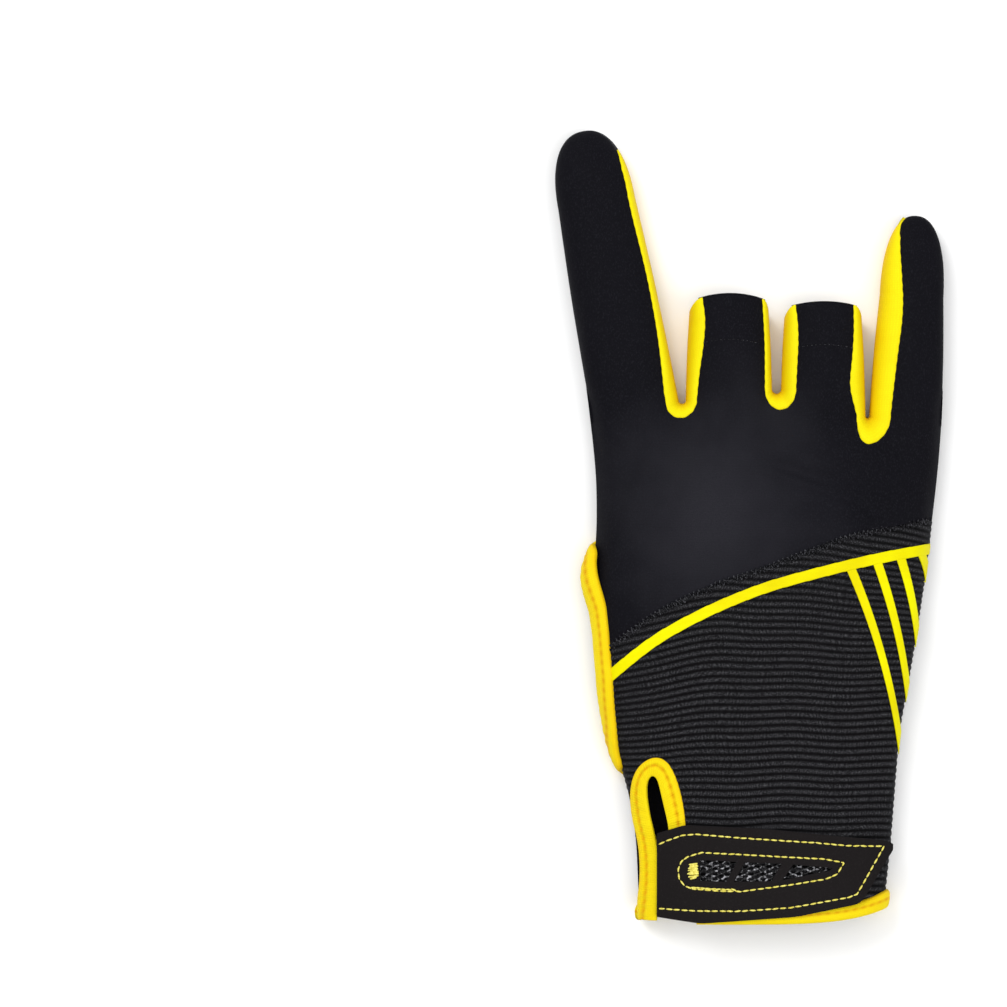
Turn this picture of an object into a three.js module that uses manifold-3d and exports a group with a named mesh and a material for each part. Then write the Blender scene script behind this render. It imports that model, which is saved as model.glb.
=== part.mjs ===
// Bowling glove for the right hand, lying palm down.
// Millimetres, +Z up. The fingers point to +Y, the index finger lies at -X.
// The origin is on the resting plane, under the middle of the palm.

import * as THREE from 'three';
import { mergeVertices } from 'three/addons/utils/BufferGeometryUtils.js';
import Module from 'manifold-3d';

const wasm = await Module();
wasm.setup();

// Cloth and clearances
const wall = 1.4;            // thickness of the panels
const gap = 0.3;             // clearance between neighbouring pieces
const bindingWidth = 4.1;    // visible width of the yellow bound edges
const bindingProud = 0.5;    // how far a binding stands over each face of the wall
const filmThickness = 0.45;

// Hand, from the cuff to the roots of the fingers
const cuffEnd = -86.5;       // lowest point of the cuff
const handLength = 152.5;
const palmWidth = 98.4;
const palmHeight = 22;
const seamHeight = 6.5;      // height of the side seam, where the glove is widest
const cuffRise = 6;          // the cuff's edge is higher on the little finger's side
const palmCuffRise = 7;      // and on the palm's thumb side
const palmCuffBlend = 0.7;   // sine of the turn under the side seam where that rise is full
const sidesAroundHand = 36;

// Fingers: root and width are shares of the palm's width, other lengths are in millimetres
const fingerRoot = 0.81;     // share of the hand's length where the finger lofts start
const fingers = {
  index: { root: -0.330, width: 0.258, length: 104.4, height: 15.5, lean: 10.65, tip: 23 },
  middle: { root: -0.102, width: 0.255, length: 56.1, height: 16.0, lean: 0, endArch: 2.6, palmShorter: 3 },
  ring: { root: 0.171, width: 0.249, length: 53.8, height: 15.6, lean: 0, endArch: 2.0, palmShorter: 3 },
  little: { root: 0.399, width: 0.211, length: 78.5, height: 14.0, lean: -3.0, tip: 26 },
};
const sidesAroundFinger = 24;
const tipEdgeEnd = 0.7;      // a side strip turns up the finger's axis where the tip has narrowed to this
const tipTurns = [22, 42, 58, 71, 81];   // degrees of the round tip at which it has a section
const bowlSteps = 6;         // facets of the round bottom between two fingers

// Gaps between the fingers: bottom is a share of the hand's length. The strips are how far the yellow
// fourchette turns onto palm and back, on the left finger, on the right finger and below the gap.
const gaps = [
  { name: 'index_middle_fourchette', left: 'index', right: 'middle', bottom: 0.972,
    leftStrip: 2.6, rightStrip: 4.2, lowStrip: 3.4 },
  { name: 'middle_ring_fourchette', left: 'middle', right: 'ring', bottom: 0.991,
    leftStrip: 2.4, rightStrip: 4.2, lowStrip: 4.9 },
  { name: 'ring_little_fourchette', left: 'ring', right: 'little', bottom: 0.945,
    leftStrip: 2.7, rightStrip: 5.6, lowStrip: 6.8 },
];

// Thumb hole: its length and how far it reaches onto palm and back from the side seam
const thumbHoleMiddle = 0.495;   // share of the hand's length
const thumbHoleLength = 59;
const thumbHoleOnPalm = 7.8;
const thumbHoleOnBack = 0.6;
const stepsAroundThumbHole = 26;

// Wrist slit, on the thumb side of the back
const slitAcross = -0.300;       // its middle line, share of palmWidth
const slitWidth = 3.2;
const slitTop = 0.290;           // upper end of the opening, share of the hand's length
const slitLegTop = 0.258;        // where its outer leg reaches the side seam

// Closing strap, with its lower left corner at the slit
const strapLength = 67.3;
const strapWidth = 28;
const strapThickness = 1.5;
const strapLift = bindingProud + gap;
const windowWidth = 11.7;
const windowHeight = 5.6;
const windowPitch = 13.9;
const windowSlant = 2.2;
const firstWindow = 0.14;        // left end of the windows, share of the strap's length
const windowLevel = 0.425;       // lower edge of the windows, share of the strap's width
const meshThickness = 0.4;
const meshBorder = 1.5;

// Film stripe and its bars
const filmWidth = 3.4;
const barWidth = 3.0;
const barTipWidth = 1.9;

const hair = 0.05;               // keeps cutters off the faces that they follow
const plugReach = 6;             // plugs reach this far in and out of the wall
const pastMouth = 12;            // the hollow runs this far out of the open ends
const farAway = 150;             // cutters reach this far past the glove
const deep = 30;                 // and this far over and under it

// Sections of the hand: along as a share of its length, edges of palmWidth, height of palmHeight
const handSections = [
  { along: 0.000, left: -0.362, right: 0.342, height: 0.82 },
  { along: 0.156, left: -0.371, right: 0.368, height: 0.84 },
  { along: 0.261, left: -0.398, right: 0.380, height: 0.88 },
  { along: 0.362, left: -0.456, right: 0.393, height: 0.94 },
  { along: 0.457, left: -0.481, right: 0.421, height: 0.98 },
  { along: 0.563, left: -0.494, right: 0.446, height: 1.00 },
  { along: 0.653, left: -0.497, right: 0.463, height: 1.00 },
  { along: 0.735, left: -0.486, right: 0.477, height: 0.97 },
  { along: 0.829, left: -0.487, right: 0.495, height: 0.89 },
  { along: 0.885, left: -0.495, right: 0.504, height: 0.79 },
  { along: 0.941, left: -0.505, right: 0.510, height: 0.64 },
  { along: 1.000, left: -0.512, right: 0.514, height: 0.42 },
];

// Sections of a finger: along as a share of its straight stretch, width and height as shares of its own
const fingerSections = [
  { along: 0.00, width: 0.84, height: 0.84 },
  { along: 0.22, width: 1.00, height: 0.98 },
  { along: 0.45, width: 1.00, height: 1.00 },
  { along: 0.72, width: 0.97, height: 0.97 },
  { along: 1.00, width: 0.92, height: 0.92 },
];

// Seam between smooth back and ribbed knit: across is a share of palmWidth, along of handLength
const backSeam = [
  { across: -0.560, along: 0.462 },
  { across: -0.435, along: 0.528 },
  { across: -0.299, along: 0.591 },
  { across: -0.150, along: 0.635 },
  { across: -0.014, along: 0.664 },
  { across: 0.246, along: 0.728 },
  { across: 0.481, along: 0.756 },
  { across: 0.600, along: 0.764 },
];

// Upper edge of the film stripe, in the same shares
const filmEdge = [
  { across: -0.560, along: 0.424 },
  { across: -0.443, along: 0.475 },
  { across: -0.304, along: 0.530 },
  { across: -0.130, along: 0.595 },
  { across: 0.047, along: 0.636 },
  { across: 0.232, along: 0.673 },
  { across: 0.473, along: 0.708 },
  { across: 0.560, along: 0.716 },
];

// Middle lines of the bars that hang from the stripe
const bars = [
  { across: 0.246, along: 0.665, endAcross: 0.400, endAlong: 0.334 },
  { across: 0.320, along: 0.680, endAcross: 0.416, endAlong: 0.418 },
  { across: 0.391, along: 0.690, endAcross: 0.450, endAlong: 0.530 },
  { across: 0.450, along: 0.700, endAcross: 0.474, endAlong: 0.640 },
];

// Outline of the strap: out as a share of its length, up as a share of its width
const strapOutline = [
  { out: 0.000, up: 0.914 },
  { out: 0.110, up: 1.000 },
  { out: 0.432, up: 0.971 },
  { out: 0.985, up: 0.836 },
  { out: 1.000, up: 0.770 },
  { out: 0.957, up: 0.586 },
  { out: 0.863, up: 0.207 },
  { out: 0.588, up: 0.075 },
  { out: 0.183, up: 0.004 },
  { out: 0.000, up: 0.064 },
];

const topRoundness = 2.3;        // exponents of the sections' superellipses
const palmRoundness = 2.6;
const palmDepthShare = 1.25;     // the palm's curve would reach this deep if it weren't flat

function handY(along) {
  return cuffEnd + along * handLength;
}

function signedPower(value, exponent) {
  return Math.sign(value) * Math.abs(value) ** exponent;
}

// A point of a closed section at an angle: half width, top height, and the offset from the outer face.
// The upper half is a superellipse; the lower half is one too, flattened where the palm lies.
function sectionPoint(angle, halfWidth, top, offset, scale = 1, flattened = true) {
  const c = Math.cos(angle);
  const s = Math.sin(angle);
  const roundness = s >= 0 ? topRoundness : palmRoundness;
  const reach = s >= 0 ? top - seamHeight : seamHeight * palmDepthShare;
  const across = (halfWidth + offset) * scale * signedPower(c, 2 / roundness);
  const height = seamHeight + (reach + offset) * scale * signedPower(s, 2 / roundness);
  return { across, height: flattened ? Math.max(height, 0, -offset) : height };
}

// Linear reading of a table between its rows
function readTable(rows, along, column) {
  const last = rows.length - 1;
  let row = 0;
  while (row < last - 1 && along > rows[row + 1].along) row += 1;
  const share = (along - rows[row].along) / (rows[row + 1].along - rows[row].along);
  return THREE.MathUtils.lerp(rows[row][column], rows[row + 1][column], share);
}

// The cuff's edge: it rises towards the little finger's side and on the thumb side of the palm
function cuffY(angle) {
  const side = Math.cos(angle);
  const towardLittle = ((1 + side) / 2) ** 4;
  const onPalm = THREE.MathUtils.smoothstep(-Math.sin(angle), 0, palmCuffBlend);
  const towardThumb = onPalm * Math.max(0, -side) ** 2;
  return cuffEnd + cuffRise * towardLittle + palmCuffRise * towardThumb;
}

// A point of the hand's surface at a share of its length and an angle of its section
function handPoint(along, angle, offset, flattened = true) {
  const left = readTable(handSections, along, 'left') * palmWidth;
  const right = readTable(handSections, along, 'right') * palmWidth;
  const top = readTable(handSections, along, 'height') * palmHeight;
  const point = sectionPoint(angle, (right - left) / 2, top, offset, 1, flattened);
  return new THREE.Vector3((left + right) / 2 + point.across, handY(along), point.height);
}

// Closed solid over rings of points, with a fan at each end about its middle or a given point
function loft(rings, ends = [null, null]) {
  const around = rings[0].length;
  const positions = [];
  const faces = [];
  for (const ring of rings) {
    for (const point of ring) positions.push(point.x, point.y, point.z);
  }
  for (let row = 0; row < rings.length - 1; row += 1) {
    for (let i = 0; i < around; i += 1) {
      const j = (i + 1) % around;
      const a = row * around + i;
      const b = row * around + j;
      faces.push(a, a + around, b, b, a + around, b + around);
    }
  }
  for (const [row, turn, end] of [[0, 1, ends[0]], [rings.length - 1, -1, ends[1]]]) {
    const mean = rings[row].reduce((sum, p) => sum.add(p), new THREE.Vector3()).divideScalar(around);
    const centre = end ?? mean;
    const middle = positions.length / 3;
    positions.push(centre.x, centre.y, centre.z);
    for (let i = 0; i < around; i += 1) {
      const a = row * around + i;
      const b = row * around + (i + 1) % around;
      faces.push(middle, turn > 0 ? a : b, turn > 0 ? b : a);
    }
  }
  const geometry = new THREE.BufferGeometry();
  geometry.setAttribute('position', new THREE.Float32BufferAttribute(positions, 3));
  geometry.setIndex(faces);
  return toSolid(geometry);
}

function toSolid(geometry) {
  const bare = geometry.clone();
  bare.deleteAttribute('normal');
  bare.deleteAttribute('uv');
  const merged = mergeVertices(bare, 1e-4);
  return new wasm.Manifold(new wasm.Mesh({
    numProp: 3,
    vertProperties: new Float32Array(merged.attributes.position.array),
    triVerts: new Uint32Array(merged.index.array),
  }));
}

function toGeometry(solid) {
  const mesh = solid.getMesh();
  const geometry = new THREE.BufferGeometry();
  geometry.setAttribute('position', new THREE.BufferAttribute(mesh.vertProperties, 3));
  geometry.setIndex(new THREE.BufferAttribute(mesh.triVerts, 1));
  geometry.computeVertexNormals();
  return geometry;
}

// Upright prism over a plan outline
function prism(outline, low = -deep, high = deep) {
  const shape = new THREE.Shape(outline.map((p) => new THREE.Vector2(p.x, p.y)));
  const geometry = new THREE.ExtrudeGeometry(shape, { depth: high - low, bevelEnabled: false });
  geometry.translate(0, 0, low);
  return toSolid(geometry);
}

function planPoint(row) {
  return new THREE.Vector2(row.across * palmWidth, handY(row.along));
}

function planCurve(rows, steps) {
  return new THREE.SplineCurve(rows.map(planPoint)).getPoints(steps);
}

function turns(count) {
  return Array.from({ length: count }, (_, i) => (i / count) * 2 * Math.PI);
}

// Hand loft; an open mouth is made by reaching past the cuff's edge
function handLoft(offset, pastCuff = 0) {
  const rings = handSections.map((row, number) => turns(sidesAroundHand).map((angle) => {
    const point = handPoint(row.along, angle, offset);
    if (number === 0) point.y = cuffY(angle) - pastCuff;
    if (number === handSections.length - 1) point.y += offset;
    return point;
  }));
  return loft(rings);
}

// Plan frame of a finger: its root, its direction and the direction across it
function fingerFrame(finger) {
  const lean = THREE.MathUtils.degToRad(finger.lean);
  return {
    root: new THREE.Vector2(finger.root * palmWidth, handY(fingerRoot)),
    ahead: new THREE.Vector2(-Math.sin(lean), Math.cos(lean)),
    across: new THREE.Vector2(Math.cos(lean), Math.sin(lean)),
  };
}

// Stations of a finger from root to tip: distance, width, height and the tip's rounding
function fingerStations(finger, offset) {
  const straight = finger.length - (finger.tip ?? 0);
  const stations = fingerSections.map((row) => ({
    distance: row.along * straight, width: row.width, height: row.height, scale: 1,
  }));
  if (finger.tip) {
    const last = fingerSections[fingerSections.length - 1];
    for (const degrees of tipTurns) {
      const turn = THREE.MathUtils.degToRad(degrees);
      stations.push({
        distance: straight + (finger.tip + offset) * Math.sin(turn),
        width: last.width,
        height: last.height,
        scale: Math.cos(turn),
      });
    }
  }
  return stations;
}

function fingerLoft(finger, offset, pastEnd = 0) {
  const frame = fingerFrame(finger);
  const stations = fingerStations(finger, offset);
  const rings = stations.map((station, number) => turns(sidesAroundFinger).map((angle) => {
    const halfWidth = station.width * finger.width * palmWidth / 2;
    const point = sectionPoint(angle, halfWidth, station.height * finger.height, offset, station.scale);
    let distance = station.distance;
    if (!finger.tip && number === stations.length - 1) {
      const side = Math.cos(angle);
      const onPalm = (1 - Math.sin(angle)) / 2;
      distance += pastEnd - finger.endArch * side * side - finger.palmShorter * onPalm;
    }
    const plan = frame.root.clone().addScaledVector(frame.ahead, distance)
      .addScaledVector(frame.across, point.across);
    return new THREE.Vector3(plan.x, plan.y, point.height);
  }));
  return loft(rings);
}

// Edge of a finger in plan from root to tip, moved towards its middle line by an inset
function fingerEdge(finger, side, inset) {
  const frame = fingerFrame(finger);
  return fingerStations(finger, 0).filter((station) => station.scale > tipEdgeEnd).map((station) => {
    const reach = station.width * finger.width * palmWidth / 2 * station.scale - inset;
    return frame.root.clone().addScaledVector(frame.ahead, station.distance)
      .addScaledVector(frame.across, side * reach);
  });
}

// Point of an edge at a distance up the plan
function edgeAt(edge, y) {
  let i = 0;
  while (i < edge.length - 2 && y > edge[i + 1].y) i += 1;
  const share = (y - edge[i].y) / (edge[i + 1].y - edge[i].y);
  return edge[i].clone().lerp(edge[i + 1], share);
}

// The space between two fingers with a round bottom, grown by an amount, with the strips or without
function gapPrism(space, grow, strips = 0) {
  const leftEdge = fingerEdge(fingers[space.left], 1, grow + strips * space.leftStrip);
  const rightEdge = fingerEdge(fingers[space.right], -1, grow + strips * space.rightStrip);
  const bottom = handY(space.bottom) - grow - strips * space.lowStrip;
  const half = (edgeAt(rightEdge, bottom).x - edgeAt(leftEdge, bottom).x) / 2;
  const round = Math.max(half, gap);
  const shoulder = bottom + round;
  const lowLeft = edgeAt(leftEdge, shoulder);
  const lowRight = edgeAt(rightEdge, shoulder);
  const halfWide = (lowRight.x - lowLeft.x) / 2;
  const middle = (lowRight.x + lowLeft.x) / 2;
  const bowl = [];
  for (let step = 1; step < bowlSteps; step += 1) {
    const turn = Math.PI * (1 + step / bowlSteps);
    bowl.push(new THREE.Vector2(middle + halfWide * Math.cos(turn), shoulder + round * Math.sin(turn)));
  }
  const up = rightEdge.filter((point) => point.y > shoulder);
  const down = leftEdge.filter((point) => point.y > shoulder).reverse();
  const topLeft = new THREE.Vector2(down[0].x, farAway);
  const topRight = new THREE.Vector2(up[up.length - 1].x, farAway);
  return prism([topLeft, ...down, lowLeft, ...bowl, lowRight, ...up, topRight]);
}

function join(solids) {
  return solids.reduce((sum, solid) => sum.add(solid));
}

// The whole glove as one filled body at an offset from its outer face
function filledGlove(offset, pastEnds) {
  const spaces = join(gaps.map((space) => gapPrism(space, Math.max(0, -offset) - hair)));
  const lofts = [handLoft(offset, pastEnds)];
  for (const finger of Object.values(fingers)) lofts.push(fingerLoft(finger, offset, pastEnds));
  return join(lofts).subtract(spaces);
}

// Rim of the thumb hole at a turn about its middle, on the hand's surface at an offset.
// It runs along the side seam at both ends and reaches onto the back above and the palm below.
function thumbRimPoint(turn, grow, offset) {
  const halfLength = thumbHoleLength / 2 + grow;
  const y = handY(thumbHoleMiddle) + halfLength * Math.cos(turn);
  const along = (y - cuffEnd) / handLength;
  const onBack = Math.sin(turn) >= 0;
  const reach = (onBack ? thumbHoleOnBack : thumbHoleOnPalm) + grow;
  const fromEdge = reach * Math.abs(Math.sin(turn));
  const left = readTable(handSections, along, 'left') * palmWidth;
  const right = readTable(handSections, along, 'right') * palmWidth;
  const share = 1 - fromEdge / ((right - left) / 2);
  const lift = Math.acos(share ** ((onBack ? topRoundness : palmRoundness) / 2));
  return handPoint(along, onBack ? Math.PI - lift : Math.PI + lift, offset, false);
}

// Plug through the wall over the thumb hole, grown by an amount
function thumbPlug(grow) {
  const rings = [-plugReach, plugReach].map((offset) => turns(stepsAroundThumbHole)
    .map((turn) => thumbRimPoint(turn, grow, offset)));
  const y = handY(thumbHoleMiddle);
  const edge = readTable(handSections, thumbHoleMiddle, 'left') * palmWidth;
  const outside = new THREE.Vector3(edge - deep, y, seamHeight);
  const inside = new THREE.Vector3(edge + 2 * thumbHoleOnPalm, y, seamHeight);
  return loft(rings, [inside, outside]);
}

// Everything below the cuff's edge, grown upwards by an amount
function cuffPlug(grow) {
  const ring = (offset, y) => turns(sidesAroundHand).map((angle) => {
    const point = handPoint(0, angle, offset, false);
    point.y = y ?? cuffY(angle) + grow;
    return point;
  });
  return loft([ring(plugReach, -farAway), ring(plugReach), ring(-plugReach)]);
}

// Wrist slit: a slot with a round upper end, open at the cuff
function slitPrism(grow) {
  const middle = slitAcross * palmWidth;
  const half = slitWidth / 2 + grow;
  const shoulder = handY(slitTop) - slitWidth / 2;
  const outline = [new THREE.Vector2(middle + half, -farAway)];
  for (let step = 0; step <= bowlSteps; step += 1) {
    const turn = Math.PI * step / bowlSteps;
    outline.push(new THREE.Vector2(middle + half * Math.cos(turn), shoulder + half * Math.sin(turn)));
  }
  outline.push(new THREE.Vector2(middle - half, -farAway));
  return prism(outline, seamHeight + gap / 2);
}

// Space of the slit's binding: round the slot, and on its outer side down to the side seam
function slitEdging(grow) {
  const middle = slitAcross * palmWidth;
  const legTop = handY(slitLegTop) + grow;
  const leg = prism([
    new THREE.Vector2(-farAway, -farAway),
    new THREE.Vector2(middle, -farAway),
    new THREE.Vector2(middle, legTop),
    new THREE.Vector2(-farAway, legTop),
  ], seamHeight + gap / 2);
  return slitPrism(bindingWidth + grow).add(leg);
}

// Plan region on the cuff's side of a curve
function belowCurve(points, shift) {
  const first = points[0];
  const last = points[points.length - 1];
  return prism([
    new THREE.Vector2(first.x, -farAway),
    new THREE.Vector2(last.x, -farAway),
    ...points.map((p) => new THREE.Vector2(p.x, p.y + shift)).reverse(),
  ]);
}

// Ribbon along a plan curve, to its right as it runs
function ribbon(points, width) {
  const lower = points.map((point, i) => {
    const before = points[Math.max(0, i - 1)];
    const after = points[Math.min(points.length - 1, i + 1)];
    const run = after.clone().sub(before).normalize();
    return new THREE.Vector2(point.x + run.y * width, point.y - run.x * width);
  });
  return prism([...lower, ...[...points].reverse()]);
}

// Skin over the hand between two offsets, above the side seam
function handSkin(low, high) {
  const above = slab(seamHeight + gap / 2, deep);
  return handLoft(high, pastMouth).subtract(handLoft(low, 2 * pastMouth)).intersect(above);
}

function slab(low, high) {
  return prism([
    new THREE.Vector2(-farAway, -farAway),
    new THREE.Vector2(farAway, -farAway),
    new THREE.Vector2(farAway, farAway),
    new THREE.Vector2(-farAway, farAway),
  ], low, high);
}

const glove = filledGlove(0, 0).subtract(filledGlove(-wall, pastMouth));
const thickGlove = filledGlove(bindingProud, 0).subtract(filledGlove(-wall - bindingProud, pastMouth));
const lowerHalf = slab(-deep, seamHeight - gap / 2);
const upperHalf = slab(seamHeight + gap / 2, deep);
const seamPoints = planCurve(backSeam, 20);

function panelsBody() {
  const strips = join(gaps.map((space) => gapPrism(space, gap, 1)));
  return glove
    .subtract(strips)
    .subtract(thumbPlug(bindingWidth + gap))
    .subtract(cuffPlug(bindingWidth + gap));
}

const panels = panelsBody();

function palmPanel() {
  return panels.intersect(lowerHalf);
}

function backPanel() {
  return panels.intersect(upperHalf).subtract(belowCurve(seamPoints, gap / 2));
}

function ribPanel() {
  return panels.intersect(upperHalf).intersect(belowCurve(seamPoints, -gap / 2)).subtract(slitEdging(gap));
}

function fourchette(space) {
  return glove.intersect(gapPrism(space, 0, 1));
}

function thumbBinding() {
  return thickGlove.intersect(thumbPlug(bindingWidth)).subtract(thumbPlug(0));
}

function slitBinding() {
  return thickGlove.intersect(slitEdging(0)).subtract(slitPrism(0));
}

function cuffBinding() {
  return thickGlove.intersect(cuffPlug(bindingWidth)).subtract(slitEdging(gap));
}

function strapPoint(out, up) {
  const left = slitAcross * palmWidth - slitWidth / 2 + gap;
  return new THREE.Vector2(left + out * strapLength, cuffEnd + gap + up * strapWidth);
}

// The strap's three windows, grown by an amount; their ends slant
function strapWindows(grow) {
  const windows = [];
  for (let number = 0; number < 3; number += 1) {
    const corner = strapPoint(firstWindow, windowLevel);
    const left = corner.x + number * windowPitch - grow;
    const right = corner.x + number * windowPitch + windowWidth + grow;
    const low = corner.y - grow;
    const high = corner.y + windowHeight + grow;
    windows.push(prism([
      new THREE.Vector2(left, low),
      new THREE.Vector2(right, low),
      new THREE.Vector2(right + windowSlant, high),
      new THREE.Vector2(left + windowSlant, high),
    ]));
  }
  return join(windows);
}

function strap() {
  const outline = strapOutline.map((row) => strapPoint(row.out, row.up)).reverse();
  return handSkin(strapLift, strapLift + strapThickness).intersect(prism(outline)).subtract(strapWindows(0));
}

function strapMesh() {
  return handSkin(gap, gap + meshThickness).intersect(strapWindows(meshBorder));
}

function stripeFilm() {
  const stripe = ribbon(planCurve(filmEdge, 20), filmWidth);
  const hanging = bars.map((bar) => {
    const top = planPoint(bar);
    const end = planPoint({ across: bar.endAcross, along: bar.endAlong });
    const run = end.clone().sub(top).normalize();
    const aside = new THREE.Vector2(-run.y, run.x);
    return prism([
      top.clone().addScaledVector(aside, -barWidth / 2),
      end.clone().addScaledVector(aside, -barTipWidth / 2),
      end.clone().addScaledVector(aside, barTipWidth / 2),
      top.clone().addScaledVector(aside, barWidth / 2),
    ]);
  });
  return handSkin(gap, gap + filmThickness)
    .intersect(join([stripe, ...hanging]))
    .subtract(thumbPlug(bindingWidth + gap));
}

const blackFabric = { color: 0x1b1b1f, roughness: 0.78, metalness: 0 };
const blackKnit = { color: 0x17171a, roughness: 0.9, metalness: 0 };
const blackMesh = { color: 0x26262a, roughness: 0.6, metalness: 0 };
const yellowFabric = { color: 0xffd400, roughness: 0.7, metalness: 0 };
const yellowBinding = { color: 0xffd800, roughness: 0.65, metalness: 0 };
const yellowFilm = { color: 0xf6f000, roughness: 0.35, metalness: 0 };

function piece(name, solid, finish) {
  const mesh = new THREE.Mesh(toGeometry(solid), new THREE.MeshStandardMaterial(finish));
  mesh.name = name;
  return mesh;
}

const bowlingGlove = new THREE.Group();
bowlingGlove.add(
  piece('palm_panel', palmPanel(), blackFabric),
  piece('back_panel', backPanel(), blackFabric),
  piece('rib_panel', ribPanel(), blackKnit),
  piece('thumb_binding', thumbBinding(), yellowBinding),
  piece('slit_binding', slitBinding(), yellowBinding),
  piece('cuff_binding', cuffBinding(), yellowBinding),
  piece('strap', strap(), blackFabric),
  piece('strap_mesh', strapMesh(), blackMesh),
  piece('stripe_film', stripeFilm(), yellowFilm),
);
for (const space of gaps) bowlingGlove.add(piece(space.name, fourchette(space), yellowFabric));

export default bowlingGlove;
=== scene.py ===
import math

import bmesh
import bpy
import numpy as np
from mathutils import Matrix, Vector


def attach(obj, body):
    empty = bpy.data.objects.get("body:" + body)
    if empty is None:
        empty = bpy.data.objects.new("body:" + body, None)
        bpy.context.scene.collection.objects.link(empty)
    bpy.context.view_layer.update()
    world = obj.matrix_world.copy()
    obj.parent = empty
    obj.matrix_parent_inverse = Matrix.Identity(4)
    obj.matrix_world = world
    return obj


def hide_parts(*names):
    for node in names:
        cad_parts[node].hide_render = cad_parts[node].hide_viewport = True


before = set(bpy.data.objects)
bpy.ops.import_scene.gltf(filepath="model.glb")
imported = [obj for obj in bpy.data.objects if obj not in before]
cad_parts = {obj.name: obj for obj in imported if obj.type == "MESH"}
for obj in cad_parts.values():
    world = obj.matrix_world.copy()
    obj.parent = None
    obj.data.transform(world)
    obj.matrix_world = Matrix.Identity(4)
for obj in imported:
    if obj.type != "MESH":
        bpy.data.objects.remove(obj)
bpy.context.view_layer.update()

# Shapes are worked out in millimetres and put into the meshes in metres.
# +Z is up, the fingers point to +Y, the index finger lies at -X and the palm lies on z = 0.
metre = 0.001

glove = {
    "wall": 1.2,             # thickness of the panels' cloth
    "palmWidth": 98.4,
    "palmHeight": 22.0,
    "handLength": 152.5,
    "cuffEnd": -86.5,
    "seamHeight": 6.5,       # height of the side seam
    "cuffRise": 4.2,
    "palmCuffRise": 7.0,
    "topRoundness": 2.3,
    "palmRoundness": 2.6,
    "palmDepth": 8.1,        # the palm's curve would reach this deep if it weren't flat
    "palmLift": 0.35,        # the palm's cloth lies this high, so that its grip print touches down
    "knuckles": 66.0,        # the sheets of the hand part into fingers at this y
    "pastKnuckles": 12.0,    # the hand's own form is gone this far past them
    "blend": 1.6,            # how softly the fingers rise out of the hand, on the back and on the palm
    "palmBlend": 0.8,
    "floorBlend": 0.5,       # how softly the palm turns flat
    "backFade": (26, 34),    # a finger's form starts this far below its root and is full after this much
    "palmFade": (30, 40),
    "outerFade": (26, 34),   # the sides pass from hand to outer fingers from this y on, over this much
    "sideRound": 5.0,        # width of the rounding at the sides of the outer fingers' roots, from y 0 to 16
    "sideFrom": (0, 16),     # and gone from y 60 to 68
    "sideTo": (60, 8),
}

# Sections of the hand: along is a share of its length, left and right of its width, height of its height
handRows = {
    "along": [0.000, 0.156, 0.261, 0.362, 0.457, 0.563, 0.653, 0.735, 0.829, 0.885, 0.941, 1.000, 1.080],
    "left": [-0.362, -0.371, -0.398, -0.456, -0.481, -0.494, -0.497, -0.486, -0.487, -0.495, -0.505,
             -0.512, -0.515],
    "right": [0.342, 0.368, 0.380, 0.393, 0.421, 0.448, 0.469, 0.485, 0.499, 0.505, 0.510, 0.514, 0.515],
    "height": [0.82, 0.84, 0.88, 0.94, 0.98, 1.00, 1.00, 0.97, 0.89, 0.79, 0.64, 0.44, 0.30],
}

fingerRoot = 0.81            # share of the hand's length where the fingers' own forms start
fingers = {
    "index": {"root": -0.330, "width": 0.258, "length": 104.4, "height": 15.5, "lean": 10.65, "tip": 21.0},
    "middle": {"root": -0.102, "width": 0.255, "length": 56.1, "height": 16.0, "lean": 0.0, "arch": 2.6},
    "ring": {"root": 0.171, "width": 0.249, "length": 53.8, "height": 15.6, "lean": 0.0, "arch": 2.0},
    "little": {"root": 0.399, "width": 0.211, "length": 78.5, "height": 14.0, "lean": -3.0, "tip": 23.0},
}
tipRoundness = 2.3           # a quarter ellipse has 2, more is blunter
fingerRows = {
    "along": [0.00, 0.22, 0.45, 0.72, 1.00],
    "width": [1.00, 1.00, 0.99, 0.955, 0.875],
    "height": [0.84, 0.98, 1.00, 0.97, 0.92],
}


def handY(along):
    return glove["cuffEnd"] + np.asarray(along) * glove["handLength"]


# Table reading that is smooth: straight lines between the rows, blurred by a bell curve of the given width
def smoothReader(xs, ys, blur, samples=801):
    xs, ys = np.asarray(xs, float), np.asarray(ys, float)
    grid = np.linspace(xs[0], xs[-1], samples)
    step = grid[1] - grid[0]
    reach = int(3 * blur / step) + 1
    kernel = np.exp(-0.5 * (np.arange(-reach, reach + 1) * step / blur) ** 2)
    values = np.interp(grid, xs, ys)
    before = 2 * values[0] - values[reach:0:-1]
    after = 2 * values[-1] - values[-2:-reach - 2:-1]
    soft = np.convolve(np.concatenate([before, values, after]), kernel / kernel.sum(), "valid")
    return lambda x: np.interp(x, grid, soft)


# Blurs of the two tables, in millimetres of the hand and as a share of a finger
blurs = {"hand": 4.0, "finger": 0.06}
readHand = {
    side: smoothReader(handY(handRows["along"]), handRows[side], blurs["hand"])
    for side in ("left", "right", "height")
}
readFinger = {
    side: smoothReader(fingerRows["along"], fingerRows[side], blurs["finger"])
    for side in ("width", "height")
}


def leftEdge(y):
    return readHand["left"](y) * glove["palmWidth"]


def rightEdge(y):
    return readHand["right"](y) * glove["palmWidth"]


# Place across the hand's section: -1 at its left edge, 1 at its right edge
def acrossShare(x, y):
    left, right = leftEdge(y), rightEdge(y)
    return (x - (left + right) / 2) / ((right - left) / 2)


# Smooth step from 0 to 1: three times the square less twice the cube
def easeIn(x):
    x = np.clip(x, 0, 1)
    return x * x * (3 - 2 * x)


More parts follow.
